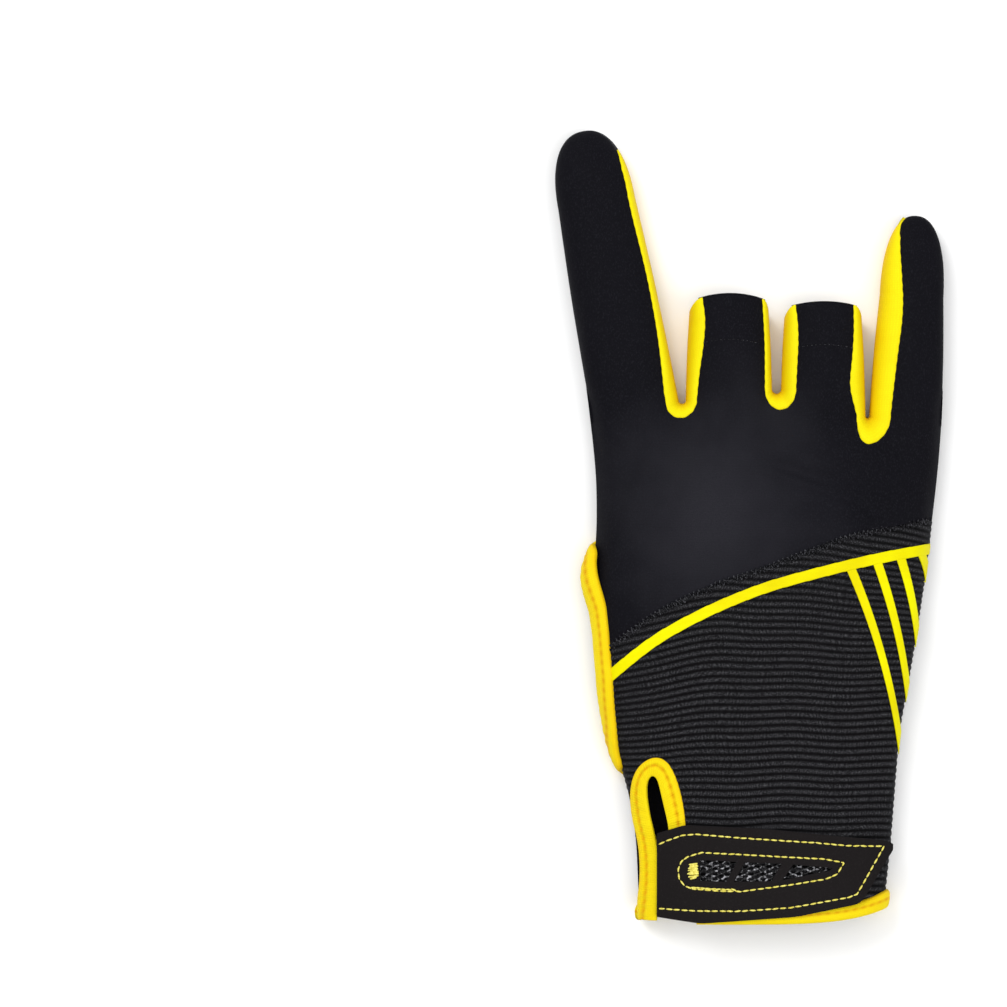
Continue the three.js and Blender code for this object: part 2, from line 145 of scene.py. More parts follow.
# Dome over -1 to 1: the n-th root of one less the n-th power of u
def dome(u, roundness):
    return (1 - np.clip(np.abs(u), 0, 1) ** roundness) ** (1 / roundness)


# Soft maximum: the larger value, raised by up to a quarter of the blend where the two are near
def softMax(a, b, blend):
    near = np.maximum(blend - np.abs(a - b), 0) / blend
    return np.maximum(a, b) + near * near * blend / 4


def fingerFrame(finger):
    lean = math.radians(finger["lean"])
    root = np.array([finger["root"] * glove["palmWidth"], float(handY(fingerRoot))])
    return root, np.array([-math.sin(lean), math.cos(lean)]), np.array([math.cos(lean), math.sin(lean)])


# Distance along a finger and distance aside from its middle line, of plan points
def inFinger(finger, x, y):
    root, ahead, across = fingerFrame(finger)
    distance = (x - root[0]) * ahead[0] + (y - root[1]) * ahead[1]
    return distance, (x - root[0]) * across[0] + (y - root[1]) * across[1]


# Half width, height and rounding of a finger at distances along it; the tip is a blunt quarter ellipse
def fingerForm(finger, distance):
    tip = finger.get("tip", 0.0)
    straight = finger["length"] - tip
    share = np.clip(distance / straight, 0, 1)
    half = readFinger["width"](share) * finger["width"] * glove["palmWidth"] / 2
    height = readFinger["height"](share) * finger["height"]
    round_ = np.ones_like(share)
    if tip:
        past = np.clip((distance - straight) / tip, 0, 1)
        round_ = dome(past, tipRoundness)
    return half, height, round_


# Plan points on a finger's edge at distances along it, moved inwards by an inset
def fingerEdge(name, side, distance, inset=0.0):
    finger = fingers[name]
    root, ahead, across = fingerFrame(finger)
    half, _, round_ = fingerForm(finger, distance)
    reach = np.maximum(half * round_ - inset, 0)
    return root + distance[..., None] * ahead + side * reach[..., None] * across


# X of a finger's edge where it passes a height y in plan
def edgeX(name, side, y, inset=0.0):
    distance = np.linspace(-40, fingers[name]["length"], 500)
    points = fingerEdge(name, side, distance, inset)
    return np.interp(y, points[:, 1], points[:, 0])


# How far the hand's own form still counts at y: full up to the knuckles, gone some way past them
def handFade(y):
    return 1 - easeIn((y - glove["knuckles"]) / glove["pastKnuckles"])


# Share of its height that the cloth keeps near the glove's sides, where the outer fingers rise out of
# the hand: a dome over the last few millimetres, so that back and palm meet at the side seam
def sideShare(x, y):
    inside = np.minimum(x - outerLeft(y), outerRight(y) - x)
    share = dome(np.clip(1 - inside / glove["sideRound"], 0, 1), glove["topRoundness"])
    (start, rising), (end, falling) = glove["sideFrom"], glove["sideTo"]
    return 1 - (1 - share) * easeIn((y - start) / rising) * (1 - easeIn((y - end) / falling))


# A finger's own dome at plan points: its share of the full rise, and whether the point is on the finger
def fingerDome(finger, x, y, roundness, fade):
    distance, aside = inFinger(finger, x, y)
    half, tall, round_ = fingerForm(finger, distance)
    lateral = aside / np.maximum(half * round_, 1e-6)
    return tall, round_, dome(lateral, roundness), easeIn((distance + fade[0]) / fade[1]), np.abs(lateral) < 1


# Height of the back at plan points: the hand's dome and the four fingers' domes, softly joined
def topHeight(x, y):
    seam = glove["seamHeight"]
    rise = readHand["height"](y) * glove["palmHeight"] - seam
    height = seam + rise * dome(acrossShare(x, y), glove["topRoundness"]) * handFade(y)
    for finger in fingers.values():
        tall, round_, bulge, fade, inside = fingerDome(finger, x, y, glove["topRoundness"], glove["backFade"])
        own = seam + (tall - seam) * round_ * bulge * fade
        height = np.where(inside, softMax(height, own, glove["blend"]), height)
    return seam + (height - seam) * sideShare(x, y)


# Soft folds of the smooth cloth on the back, each a bell along a plan line: x, y, heading in degrees, half
# length, half width and height in millimetres
folds = [
    (-34.0, 42.0, 66.0, 15.0, 3.4, 0.95),
    (-26.5, 36.0, 70.0, 16.0, 2.8, -0.7),
    (-15.0, 50.0, 82.0, 10.0, 2.6, 0.55),
    (10.0, 42.0, -18.0, 13.0, 2.0, 0.65),
    (13.0, 38.0, -22.0, 12.0, 1.8, -0.55),
    (24.0, 31.0, -30.0, 11.0, 2.2, 0.6),
    (-40.0, 18.0, 50.0, 11.0, 2.6, 0.6),
    (37.0, 24.0, 74.0, 14.0, 2.8, 0.7),
    (-9.0, 64.0, 86.0, 10.0, 2.2, -0.45),
    (-50.0, 84.0, 78.0, 13.0, 3.0, 0.5),
    (41.0, 72.0, 88.0, 15.0, 2.6, 0.5),
    (16.0, 60.0, 84.0, 9.0, 2.2, 0.35),
]
foldSide = 6.0               # the folds fade in over this much height above the side seam
foldHeight = 1.6             # all folds together are made this much higher


# Height of the back's smooth cloth: the back with its folds, which fade out at the sides
def clothHeight(x, y):
    rise = np.zeros_like(x)
    for foldX, foldY, heading, length, width, height in folds:
        turn = math.radians(heading)
        along = (x - foldX) * math.cos(turn) + (y - foldY) * math.sin(turn)
        aside = (y - foldY) * math.cos(turn) - (x - foldX) * math.sin(turn)
        rise = rise + foldHeight * height * np.exp(-(along / length) ** 2 - (aside / width) ** 2)
    base = topHeight(x, y)
    return base + rise * easeIn((base - glove["seamHeight"]) / foldSide)


# Depth of the palm side at plan points: each form's lower dome, the deepest counts, cut flat at the floor
def palmHeight(x, y):
    depth = glove["palmDepth"]
    drop = depth * dome(acrossShare(x, y), glove["palmRoundness"]) * handFade(y)
    for finger in fingers.values():
        _, round_, bulge, fade, inside = fingerDome(finger, x, y, glove["palmRoundness"], glove["palmFade"])
        drop = np.where(inside, softMax(drop, depth * round_ * bulge * fade, glove["palmBlend"]), drop)
    drop = drop * sideShare(x, y)
    return softMax(glove["seamHeight"] - drop, np.full_like(drop, glove["palmLift"]), glove["floorBlend"])


# Height of the cuff's edge at a turn about the section, 0 on the little finger's side and a quarter on top
def cuffY(turn):
    side = np.cos(turn)
    onPalm = easeIn(-np.sin(turn) / 0.7)
    towardLittle = ((1 + side) / 2) ** 6
    towardThumb = onPalm * np.maximum(0, -side) ** 2
    return glove["cuffEnd"] + glove["cuffRise"] * towardLittle + glove["palmCuffRise"] * towardThumb


# A point of the hand's surface at y and a turn about its section.
# Across is the half width times cos to the power 2/n, up is the height times sin to the power 2/n.
def handPoint(y, turn):
    y, turn = np.broadcast_arrays(np.asarray(y, float), np.asarray(turn, float))
    left, right = leftEdge(y), rightEdge(y)
    onTop = np.sin(turn) >= 0
    roundness = np.where(onTop, glove["topRoundness"], glove["palmRoundness"])
    rise = readHand["height"](y) * glove["palmHeight"] - glove["seamHeight"]
    reach = np.where(onTop, rise, glove["palmDepth"])
    c, s = np.cos(turn), np.sin(turn)
    across = (right - left) / 2 * np.sign(c) * np.abs(c) ** (2 / roundness)
    up = reach * np.sign(s) * np.abs(s) ** (2 / roundness)
    z = np.maximum(glove["seamHeight"] + up, glove["palmLift"])
    return np.stack([(left + right) / 2 + across, y, z], -1)


# Turn about the section of the point that lies at a plan distance in from the thumb-side edge
def turnFromEdge(y, distance, onTop):
    half = (rightEdge(y) - leftEdge(y)) / 2
    share = np.clip(1 - distance / half, 0, 1)
    roundness = np.where(onTop, glove["topRoundness"], glove["palmRoundness"])
    lift = np.arccos(np.clip(share ** (roundness / 2), -1, 1))
    return np.where(onTop, math.pi - lift, math.pi + lift)


# Turn about the section of a point at a plan x, on the side whose roundness is given
def turnAtX(x, y, roundness):
    u = np.clip(acrossShare(x, y), -1, 1)
    return np.arccos(np.sign(u) * np.abs(u) ** (roundness / 2))


# Length run along a chain of points, from 0
def runLength(points):
    return np.concatenate([[0], np.cumsum(np.linalg.norm(np.diff(points, axis=0), axis=-1))])


# Quads over a grid of points counted row by row, closed round a row or along a column if asked
def gridQuads(rows, columns, closedRow=False, closedColumn=False):
    r = np.arange(rows if closedColumn else rows - 1)
    c = np.arange(columns if closedRow else columns - 1)
    r, c = np.meshgrid(r, c, indexing="ij")
    rNext, cNext = (r + 1) % rows, (c + 1) % columns
    corners = [(r, c), (r, cNext), (rNext, cNext), (rNext, c)]
    return np.stack([row * columns + column for row, column in corners], -1).reshape(-1, 4)


# Normals of a grid of points by the cross product of its two directions
def gridNormals(points, closedRow=False, closedColumn=False):
    def slope(axis, closed):
        if closed:
            return np.roll(points, -1, axis) - np.roll(points, 1, axis)
        return np.gradient(points, axis=axis)
    normal = np.cross(slope(1, closedRow), slope(0, closedColumn))
    return normal / np.maximum(np.linalg.norm(normal, axis=-1, keepdims=True), 1e-9)


# A mesh object from points in millimetres and quads, with a map in millimetres if given.
# Points nearer to each other than merge become one.
def addPiece(name, points, quads, uv=None, merge=0.0, ribs=None):
    points = np.asarray(points, float).reshape(-1, 3)
    quads = np.asarray(quads)
    mesh = bpy.data.meshes.new(name)
    mesh.vertices.add(len(points))
    mesh.vertices.foreach_set("co", (points * metre).ravel())
    mesh.loops.add(quads.size)
    mesh.loops.foreach_set("vertex_index", quads.ravel().astype(np.int32))
    mesh.polygons.add(len(quads))
    mesh.polygons.foreach_set("loop_start", np.arange(0, quads.size, quads.shape[1], dtype=np.int32))
    mesh.polygons.foreach_set("use_smooth", np.ones(len(quads), bool))
    mesh.update(calc_edges=True)
    for label, values in (("cloth", uv), ("ribs", ribs)):
        if values is not None:
            layer = mesh.uv_layers.new(name=label)
            layer.data.foreach_set("uv", np.asarray(values, float).reshape(-1, 2)[quads.ravel()].ravel())
    mesh.validate()
    piece = bpy.data.objects.new(name, mesh)
    bpy.context.scene.collection.objects.link(piece)
    if merge:
        work = bmesh.new()
        work.from_mesh(mesh)
        bmesh.ops.remove_doubles(work, verts=work.verts, dist=merge * metre)
        work.to_mesh(mesh)
        work.free()
    print(name, len(quads), "quads")
    return piece


# Joins several grids into one list of points, quads and map
def joinGrids(parts):
    points, quads, maps, count = [], [], [], 0
    for part in parts:
        points.append(np.asarray(part[0], float).reshape(-1, 3))
        quads.append(np.asarray(part[1]) + count)
        maps.append(np.asarray(part[2], float).reshape(-1, 2))
        count += len(points[-1])
    return np.concatenate(points), np.concatenate(quads), np.concatenate(maps)


def addThickness(piece, thickness):
    shell = piece.modifiers.new("cloth thickness", "SOLIDIFY")
    shell.thickness = thickness * metre
    shell.offset = -1.0
    shell.use_even_offset = False


# Yellow strips between the fingers. The strips' widths on the back are given from the crotch up to the end.
strips = {
    "index_middle": {"left": "index", "right": "middle", "bottom": 0.972, "low": 3.7, "palmLow": 3.0,
                     "leftWidths": [3.8, 2.2, 1.8, 2.2, 1.5], "rightWidths": [2.9, 3.4, 4.3, 4.5, 2.9],
                     "leftStart": 97.4},
    "middle_ring": {"left": "middle", "right": "ring", "bottom": 0.991, "low": 4.6, "palmLow": 2.6,
                    "leftWidths": [2.2, 2.0, 1.8, 1.7, 1.7], "rightWidths": [3.9, 4.0, 4.1, 3.6, 2.4]},
    "ring_little": {"left": "ring", "right": "little", "bottom": 0.945, "low": 7.2, "palmLow": 3.6,
                    "skew": -1.5,
                    "leftWidths": [2.8, 4.8, 3.6, 2.6, 2.2], "rightWidths": [5.6, 6.2, 6.8, 5.2, 0.6],
                    "rightStart": 77.8},
}
stripShares = [0.0, 0.25, 0.5, 0.75, 1.0]
strip = {
    "blur": 0.07,            # smoothing of the widths' table
    "startTaper": 6.0,       # on the long fingers they come to a point over this length
    "wall": 1.0,
    "palmWidths": 2.2,       # on the palm the strips are narrow all along
    "underlap": 0.9,         # the black cloth runs on below the yellow
    "proud": 0.28,           # how much the yellow stands above the black
    "roll": 2.1,             # roundness of the yellow's turn over the edge, on the back and on the palm
    "palmRoll": 2.8,
    "ripple": 0.06,          # waviness of the seam from its stitches
    "ripplePitch": 2.7,
    "overEnd": 0.35,         # on the short fingers they reach this far past the black cloth's end
    "endCorner": 1.3,        # and their outer corner is rounded down by this much
}
palmShorter = 3.0            # the short fingers' palm side ends this much lower


def endDistance(finger, lateral=0.0):
    return finger["length"] - finger.get("arch", 0.0) * lateral ** 2


# Where a gap's bottom bends round: the height of its shoulders, its middle and its half width
def gapShoulder(gap):
    bottom = float(handY(gap["bottom"]))
    y = np.array([bottom])
    for _ in range(3):
        left, right = edgeX(gap["left"], 1, y), edgeX(gap["right"], -1, y)
        half = float(np.maximum(right - left, 1.6)[0] / 2)
        y = np.array([bottom + half])
    return bottom, bottom + half, float((left + right)[0] / 2), half


# Width of a gap's strip on one leg at distances along the finger, from the table or plain on the palm
def stripWidth(gap, leg, distance, onBack):
    finger = fingers[gap[leg]]
    root, ahead, _ = fingerFrame(finger)
    low = (gapShoulder(gap)[1] - root[1]) / ahead[1]
    start = gap.get(leg + "Start", finger["length"])
    share = np.clip((distance - low) / (start - low), 0, 1)
    widths = smoothReader(stripShares, gap[leg + "Widths"], strip["blur"])(share)
    if not onBack:
        widths = np.minimum(widths, strip["palmWidths"])
    if leg + "Start" in gap:
        widths = widths * np.clip((start - distance) / strip["startTaper"], 0, 1) ** 0.5
    return widths


# Black edge of a finger at distances along it, on the side of a gap or on the outer side
def blackEdge(name, side, distance, onBack, under=0.0):
    leg = "left" if side > 0 else "right"
    for gap in strips.values():
        if gap[leg] == name:
            inset = np.maximum(stripWidth(gap, leg, distance, onBack) - under, 0)
            return fingerEdge(name, side, distance, inset)
    return fingerEdge(name, side, distance)


def blackEdgeX(name, side, y, onBack, under):
    finger = fingers[name]
    distance = np.linspace(-30, finger["length"] - finger.get("tip", 0.0), 400)
    points = blackEdge(name, side, distance, onBack, under)
    return np.interp(y, points[:, 1], points[:, 0])


# Left and right edges of the cloth at a notch between two fingers; below the notch they nearly meet.
# Past the shoulders the notch narrows as an ellipse.
def notchEdges(gap, y, onBack):
    bottom, shoulder, middle, half = gapShoulder(gap)
    low = gap["low"] if onBack else gap["palmLow"]
    reach = shoulder - bottom + low - strip["underlap"]
    left = blackEdgeX(gap["left"], 1, np.maximum(y, shoulder), onBack, strip["underlap"])
    right = blackEdgeX(gap["right"], -1, np.maximum(y, shoulder), onBack, strip["underlap"])
    sag = np.clip((shoulder - y) / reach, 0, 1)
    share = np.sqrt(1 - sag * sag)
    if onBack:
        middle = middle + gap.get("skew", 0.0) * sag * sag
    left = np.minimum(middle + (left - middle) * share, middle - 0.15)
    right = np.maximum(middle + (right - middle) * share, middle + 0.15)
    return left, right, shoulder - reach


# Sides of the glove: the hand's edge, which gives way to the outer finger's edge above the palm
def outerEdge(y, side, edge, name):
    start, over = glove["outerFade"]
    past = softMax(side * edge, side * edgeX(name, side, y), 1.0) - side * edge
    return edge + side * past * easeIn((y - start) / over)


def outerLeft(y):
    return outerEdge(y, -1, leftEdge(y), "index")


def outerRight(y):
    return outerEdge(y, 1, rightEdge(y), "little")


# The thumb hole: half an ellipse on the palm. On the back its bound edge follows a table of its middle
# line, in millimetres in from the side at y, and stands out sideways from the hand by the flare.
thumb = {
    "middle": 0.495,
    "length": 59.0,
    "onPalm": 7.8,
    "under": 2.4,            # the palm's cloth ends this far outside the hole's own edge
    "end": -1.5,             # where it passes from back to palm, it lies this far round on the palm
    "lineY": [-46.0, -42.6, -40.0, -36.0, -29.0, -16.0, -4.0, 3.0, 12.0, 18.0, 20.5, 24.0],
    "line": [-1.5, -1.5, -0.5, -0.2, 0.8, 1.9, 1.9, 1.7, 0.7, 0.0, -1.5, -1.5],
    "flareY": [-46.0, -44.0, -38.7, -35.0, -29.0, -4.0, 2.6, 8.8, 11.7, 16.0, 19.0, 23.0],
    "flare": [0.0, 0.1, 0.7, 0.5, 0.0, 0.0, 0.5, 2.0, 2.5, 2.1, 1.0, 0.0],
    "flareWidth": 3.2,       # the flare fades away from the side over this distance
}
readThumbLine = smoothReader(thumb["lineY"], thumb["line"], 0.7)
readFlare = smoothReader(thumb["flareY"], thumb["flare"], 1.2)


# How far a panel's edge stands back from the side at y because of the thumb hole
def thumbInset(y, onBack):
    if onBack:
        return np.maximum(readThumbLine(y) - 0.6 * readFlare(y), 0)
    share = (y - handY(thumb["middle"])) / (thumb["length"] / 2 + thumb["under"])
    return (thumb["onPalm"] + thumb["under"]) * np.sqrt(np.clip(1 - share * share, 0, 1))


# One panel of smooth cloth from its lower edge up to the fingers' ends.
# Rows run from the lower edge to a straight row at the knuckles; columns run from side to side,
# parted at the three notches. Each finger goes on above that row as a grid of its own.
panelGrid = {
    "columns": [30, 18, 18, 30],       # quads across each finger
    "rowsLow": {True: 60, False: 120},  # rows up to a straight line, on the back and on the palm
    "flatFrom": 46.0,                  # that line's y
    "rowsHigh": 28,                    # rows from there to the knuckles
    "longRows": 46,                    # rows of a long finger, before its tip, and of a short one
    "shortRows": 26,
    "tipRows": 22,
}


def panelSheet(lowerEdge, heights, onBack):
    gaps = list(strips.values())
    top, flatFrom = glove["knuckles"], panelGrid["flatFrom"]
    rowsLow, rowsHigh = panelGrid["rowsLow"][onBack], panelGrid["rowsHigh"]
    spans = panelGrid["columns"]
    even = [np.linspace(0, 1, count + 1) for count in spans]
    spacing = [1 - np.cos(even[0] * math.pi / 2), even[1], even[2], np.sin(even[3] * math.pi / 2)]
    span = np.concatenate([np.full(len(part), i) for i, part in enumerate(spacing)])
    share = np.concatenate(spacing)

    def xAt(y):
        limits = [outerLeft(y) + thumbInset(y, onBack)]
        for gap in gaps:
            left, right, _ = notchEdges(gap, y, onBack)
            limits += [left, right]
        limits.append(outerRight(y))
        limits = np.stack(limits)
        starts = np.take_along_axis(limits, 2 * np.broadcast_to(span, y.shape)[None], 0)[0]
        ends = np.take_along_axis(limits, 2 * np.broadcast_to(span, y.shape)[None] + 1, 0)[0]
        return starts + (ends - starts) * share

    shareLow = np.linspace(0, 1, rowsLow)[:, None]
    y = np.broadcast_to(np.linspace(-40, flatFrom, rowsLow)[:, None], (rowsLow, len(share))).copy()
    for _ in range(5):
        edge = lowerEdge(xAt(y))
        y = edge + (flatFrom - edge) * shareLow
    high = np.linspace(flatFrom, top, rowsHigh)[1:, None] + np.zeros(len(share))
    y = np.concatenate([y, high])
    x = xAt(y)
    points = np.stack([x, y, heights(x, y)], -1)
    quads = gridQuads(*y.shape)
    column = quads[:, 0] % len(share)
    row = quads[:, 0] // len(share)
    keep = np.ones(len(quads), bool)
    for i, gap in enumerate(gaps):
        seam = sum(spans[:i + 1]) + i
        low = notchEdges(gap, y[:, 0], onBack)[2]
        keep &= ~((column == seam) & (y[row, 0] > low - 0.01) & (row >= rowsLow - 1))
    parts = [(points, quads[keep], points[..., :2])]

    for number, (name, finger) in enumerate(fingers.items()):
        part = spacing[number]
        root, ahead, across = fingerFrame(finger)
        sides = []
        for side in (-1, 1):
            along = np.linspace(0, finger["length"], 600)
            points = blackEdge(name, side, along, onBack, strip["underlap"])
            straight = finger["length"] - finger.get("tip", 0.0)
            low = along <= straight
            first = np.interp(top, points[low, 1], along[low])
            count = panelGrid["longRows" if "tip" in finger else "shortRows"]
            stations = np.linspace(first, straight, count)
            if "tip" in finger:
                turn = np.linspace(0, math.pi / 2, panelGrid["tipRows"])[1:]
                stations = np.concatenate([stations, straight + finger["tip"] * np.sin(turn)])
            sides.append(blackEdge(name, side, stations, onBack, strip["underlap"]))
        sides[0][0, 0] = xAt(np.full(len(share), top))[span == number][0]
        sides[1][0, 0] = xAt(np.full(len(share), top))[span == number][-1]
        sides[0][0, 1] = sides[1][0, 1] = top
        grid = sides[0][:, None] + (sides[1] - sides[0])[:, None] * part[None, :, None]
        if "arch" in finger:
            half = finger["width"] * glove["palmWidth"] / 2
            lateral = (grid[..., 0] - root[0]) / half
            rise = (grid[..., 1] - top) / (grid[-1, 0, 1] - top)
            lower = 0.0 if onBack else palmShorter
            grid[..., 1] -= rise * (finger["arch"] * lateral ** 2 + lower)
        z = heights(grid[..., 0], grid[..., 1])
        parts.append((np.concatenate([grid, z[..., None]], -1), gridQuads(*z.shape), grid))
    points, quads, uv = joinGrids(parts)
    return points, quads if onBack else quads[:, ::-1], uv


# Curved seam between the smooth cloth and the ribbed knit: across is a share of the width, along of the
# length
backSeam = {
    "blur": 3.0,
    "across": [-0.620, -0.560, -0.435, -0.299, -0.150, -0.014, 0.246, 0.481, 0.600],
    "along": [0.436, 0.462, 0.528, 0.591, 0.635, 0.664, 0.728, 0.756, 0.764],
}
cuffTuck = 2.0               # the panels end this far inside the cuff's bound edge


# A table across and along the hand, as a smooth line of y over x
def readAcross(table, across="across", along="along"):
    return smoothReader(np.array(table[across]) * glove["palmWidth"], handY(table[along]), table["blur"])


readSeam = readAcross(backSeam)


def palmCuff(x):
    y = np.full_like(x, glove["cuffEnd"] + 4)
    return cuffY(-turnAtX(x, y, glove["palmRoundness"])) + cuffTuck


backPanel = addPiece("back_cloth", *panelSheet(readSeam, clothHeight, True), merge=0.01)
addThickness(backPanel, glove["wall"])
palmPanel = addPiece("palm_cloth", *panelSheet(palmCuff, palmHeight, False), merge=0.01)
addThickness(palmPanel, glove["wall"])


# The yellow strip of a gap: a quarter ellipse from the black edge on the back over the finger's side, and
# another one on to the black edge of the palm, carried down one finger, round the crotch and up the next.
def fourchette(gap, columns=21, legRows=150, bowlRows=44):
    bottom, shoulder, _, _ = gapShoulder(gap)
    turn = np.linspace(0, math.pi, columns)
    onBack = turn <= math.pi / 2
    power = 2 / np.where(onBack, strip["roll"], strip["palmRoll"])
    out = np.sin(turn) ** power
    lift = np.sign(np.cos(turn)) * np.abs(np.cos(turn)) ** power
    legs = []
    for leg, side in (("left", 1), ("right", -1)):
        name = gap[leg]
        finger = fingers[name]
        along = np.linspace(0, finger["length"] - finger.get("tip", 0), 300)
        first = np.interp(shoulder, fingerEdge(name, side, along)[:, 1], along)
        last = np.full(columns, gap.get(leg + "Start", finger["length"]))
        if "arch" in finger:
            inset = gap[leg + "Widths"][-1] / (finger["width"] * glove["palmWidth"] / 2) * (1 - out)
            last = endDistance(finger, 1 - inset) + strip["overEnd"] - strip["endCorner"] * out ** 3
            last = last - palmShorter * (1 - lift) / 2
        share = np.linspace(0, 1, legRows)[:, None]
        share = 1 - (1 - share) ** 1.3
        distance = first + (last - first) * share
        width = np.where(onBack, *(stripWidth(gap, leg, distance, back) for back in (True, False)))
        legs.append((fingerEdge(name, side, distance, width), fingerEdge(name, side, distance)))
    blackLegs, edgeLegs = [leg[0] for leg in legs], [leg[1] for leg in legs]
    sweep = np.linspace(0, math.pi, bowlRows)[1:-1, None, None]
    down = np.array([0.0, -1.0])

    # Half an ellipse from one leg's lowest row to the other's, leaning aside by the skew
    def bowl(left, right, reach, skew=0.0):
        lean = np.array([1.0, 0.0]) * skew * np.sin(sweep) ** 2
        halfWay = (left + right) / 2 - (right - left) / 2 * np.cos(sweep)
        return halfWay + reach * down * np.sin(sweep) + lean

    low = np.where(onBack, gap["low"], gap["palmLow"])[:, None]
    skew = np.where(onBack, gap.get("skew", 0.0), 0.0)[:, None]
    blackBowl = bowl(blackLegs[0][0], blackLegs[1][0], shoulder - bottom + low, skew)
    edgeBowl = bowl(edgeLegs[0][0], edgeLegs[1][0], shoulder - bottom)
    black = np.concatenate([blackLegs[0][::-1], blackBowl, blackLegs[1]])
    edge = np.concatenate([edgeLegs[0][::-1], edgeBowl, edgeLegs[1]])
    run = runLength(black[:, 0])
    aside = black - edge
    aside = aside / np.maximum(np.linalg.norm(aside, axis=-1, keepdims=True), 1e-6)
    wave = strip["ripple"] * np.sin(run / strip["ripplePitch"] * 2 * math.pi)[:, None, None]
    plan = black + (edge - black) * out[:, None] + aside * wave * (np.abs(lift) ** 4)[:, None]
    seam = glove["seamHeight"]
    upper = clothHeight(black[..., 0], black[..., 1]) + strip["proud"]
    lower = np.maximum(palmHeight(black[..., 0], black[..., 1]) - strip["proud"], 0.08)
    z = seam + np.where(onBack, upper - seam, seam - lower) * lift
    points = np.concatenate([plan, z[..., None]], -1)
    tuck = points[:, :1].copy()
    tuck[..., :2] += aside[:, :1] * 0.25
    tuck[..., 2] -= 0.5
    points = np.concatenate([tuck, points], 1)
    uv = np.stack(np.broadcast_arrays(run[:, None], np.linspace(0, 12, columns + 1)), -1)
    return points, gridQuads(*points.shape[:2])[:, ::-1], uv


yellowSides = {name: addPiece(name + "_strip", *fourchette(gap)) for name, gap in strips.items()}
for piece in yellowSides.values():
    addThickness(piece, strip["wall"])


# The wrist slit: a drop-shaped opening. Its bound edge runs between an inner and an outer line, which start
# at the cuff on the little finger's side, bend round the top and end at the cuff on the thumb's side.
slit = {
    "inX": [-27.2, -27.2, -27.3, -28.6, -29.8, -30.7, -32.2, -33.9, -33.8, -32.6, -30.4, -30.3, -31.0],
    "inY": [-84.6, -68.0, -59.2, -54.0, -48.8, -44.9, -43.9, -45.8, -51.0, -57.6, -64.5, -75.4, -85.8],
    "outX": [-22.2, -22.2, -22.6, -23.5, -25.3, -27.9, -32.0, -36.9, -38.5, -37.8, -35.6, -35.2, -37.0],
    "outY": [-84.6, -68.0, -58.2, -51.2, -44.6, -39.6, -38.4, -41.8, -48.8, -56.6, -64.0, -75.0, -85.6],
    "blur": 0.42,
    "legTop": 0.258,         # the outer bound edge reaches up to here at the side, as a share of the length
    "under": 1.5,            # the knit runs on this far below the bound edge
}
slitSteps = np.arange(len(slit["inX"]))
readSlit = {key: smoothReader(slitSteps, slit[key], slit["blur"]) for key in ("inX", "inY", "outX", "outY")}

knit = {
    "pitch": 2.0,            # distance of the ribs
    "height": 0.34,
    "rowsPerRib": 7,
    "sagLeft": 7.5,          # the ribs bend down towards the thumb's side by this much
    "sagRight": 8.5,         # and higher up also towards the little finger
    "wander": 0.25,
}


# Ribs of the knit: each is a half round, the sine of the place within the pitch to the power 0.7.
# The lines they follow sag towards the upper left and the upper right.
def ribHeight(x, y):
    toLeft = np.clip((-10 - x) / 38, 0, 1.2) ** 1.8 * easeIn((y + 66) / 60)
    toRight = np.clip((x - 2) / 50, 0, 1) ** 1.4 * easeIn((y + 30) / 60)
    wander = knit["wander"] * (np.sin(x * 0.11 + y * 0.05) + np.sin(x * 0.23 - y * 0.031 + 2))
    line = (y + knit["sagLeft"] * toLeft + knit["sagRight"] * toRight + wander) / knit["pitch"]
    return knit["height"] * np.abs(np.sin(math.pi * line)) ** 0.7


# Plan x of the slit's inner line at y, on its right or left side, moved away from the opening
def slitLine(y, side):
    half = len(slitSteps) // 2
    steps = np.linspace(0, half, 200) if side > 0 else np.linspace(len(slitSteps) - 1, half, 200)
    return np.interp(y, readSlit["inY"](steps), readSlit["inX"](steps)) + side * slit["under"]


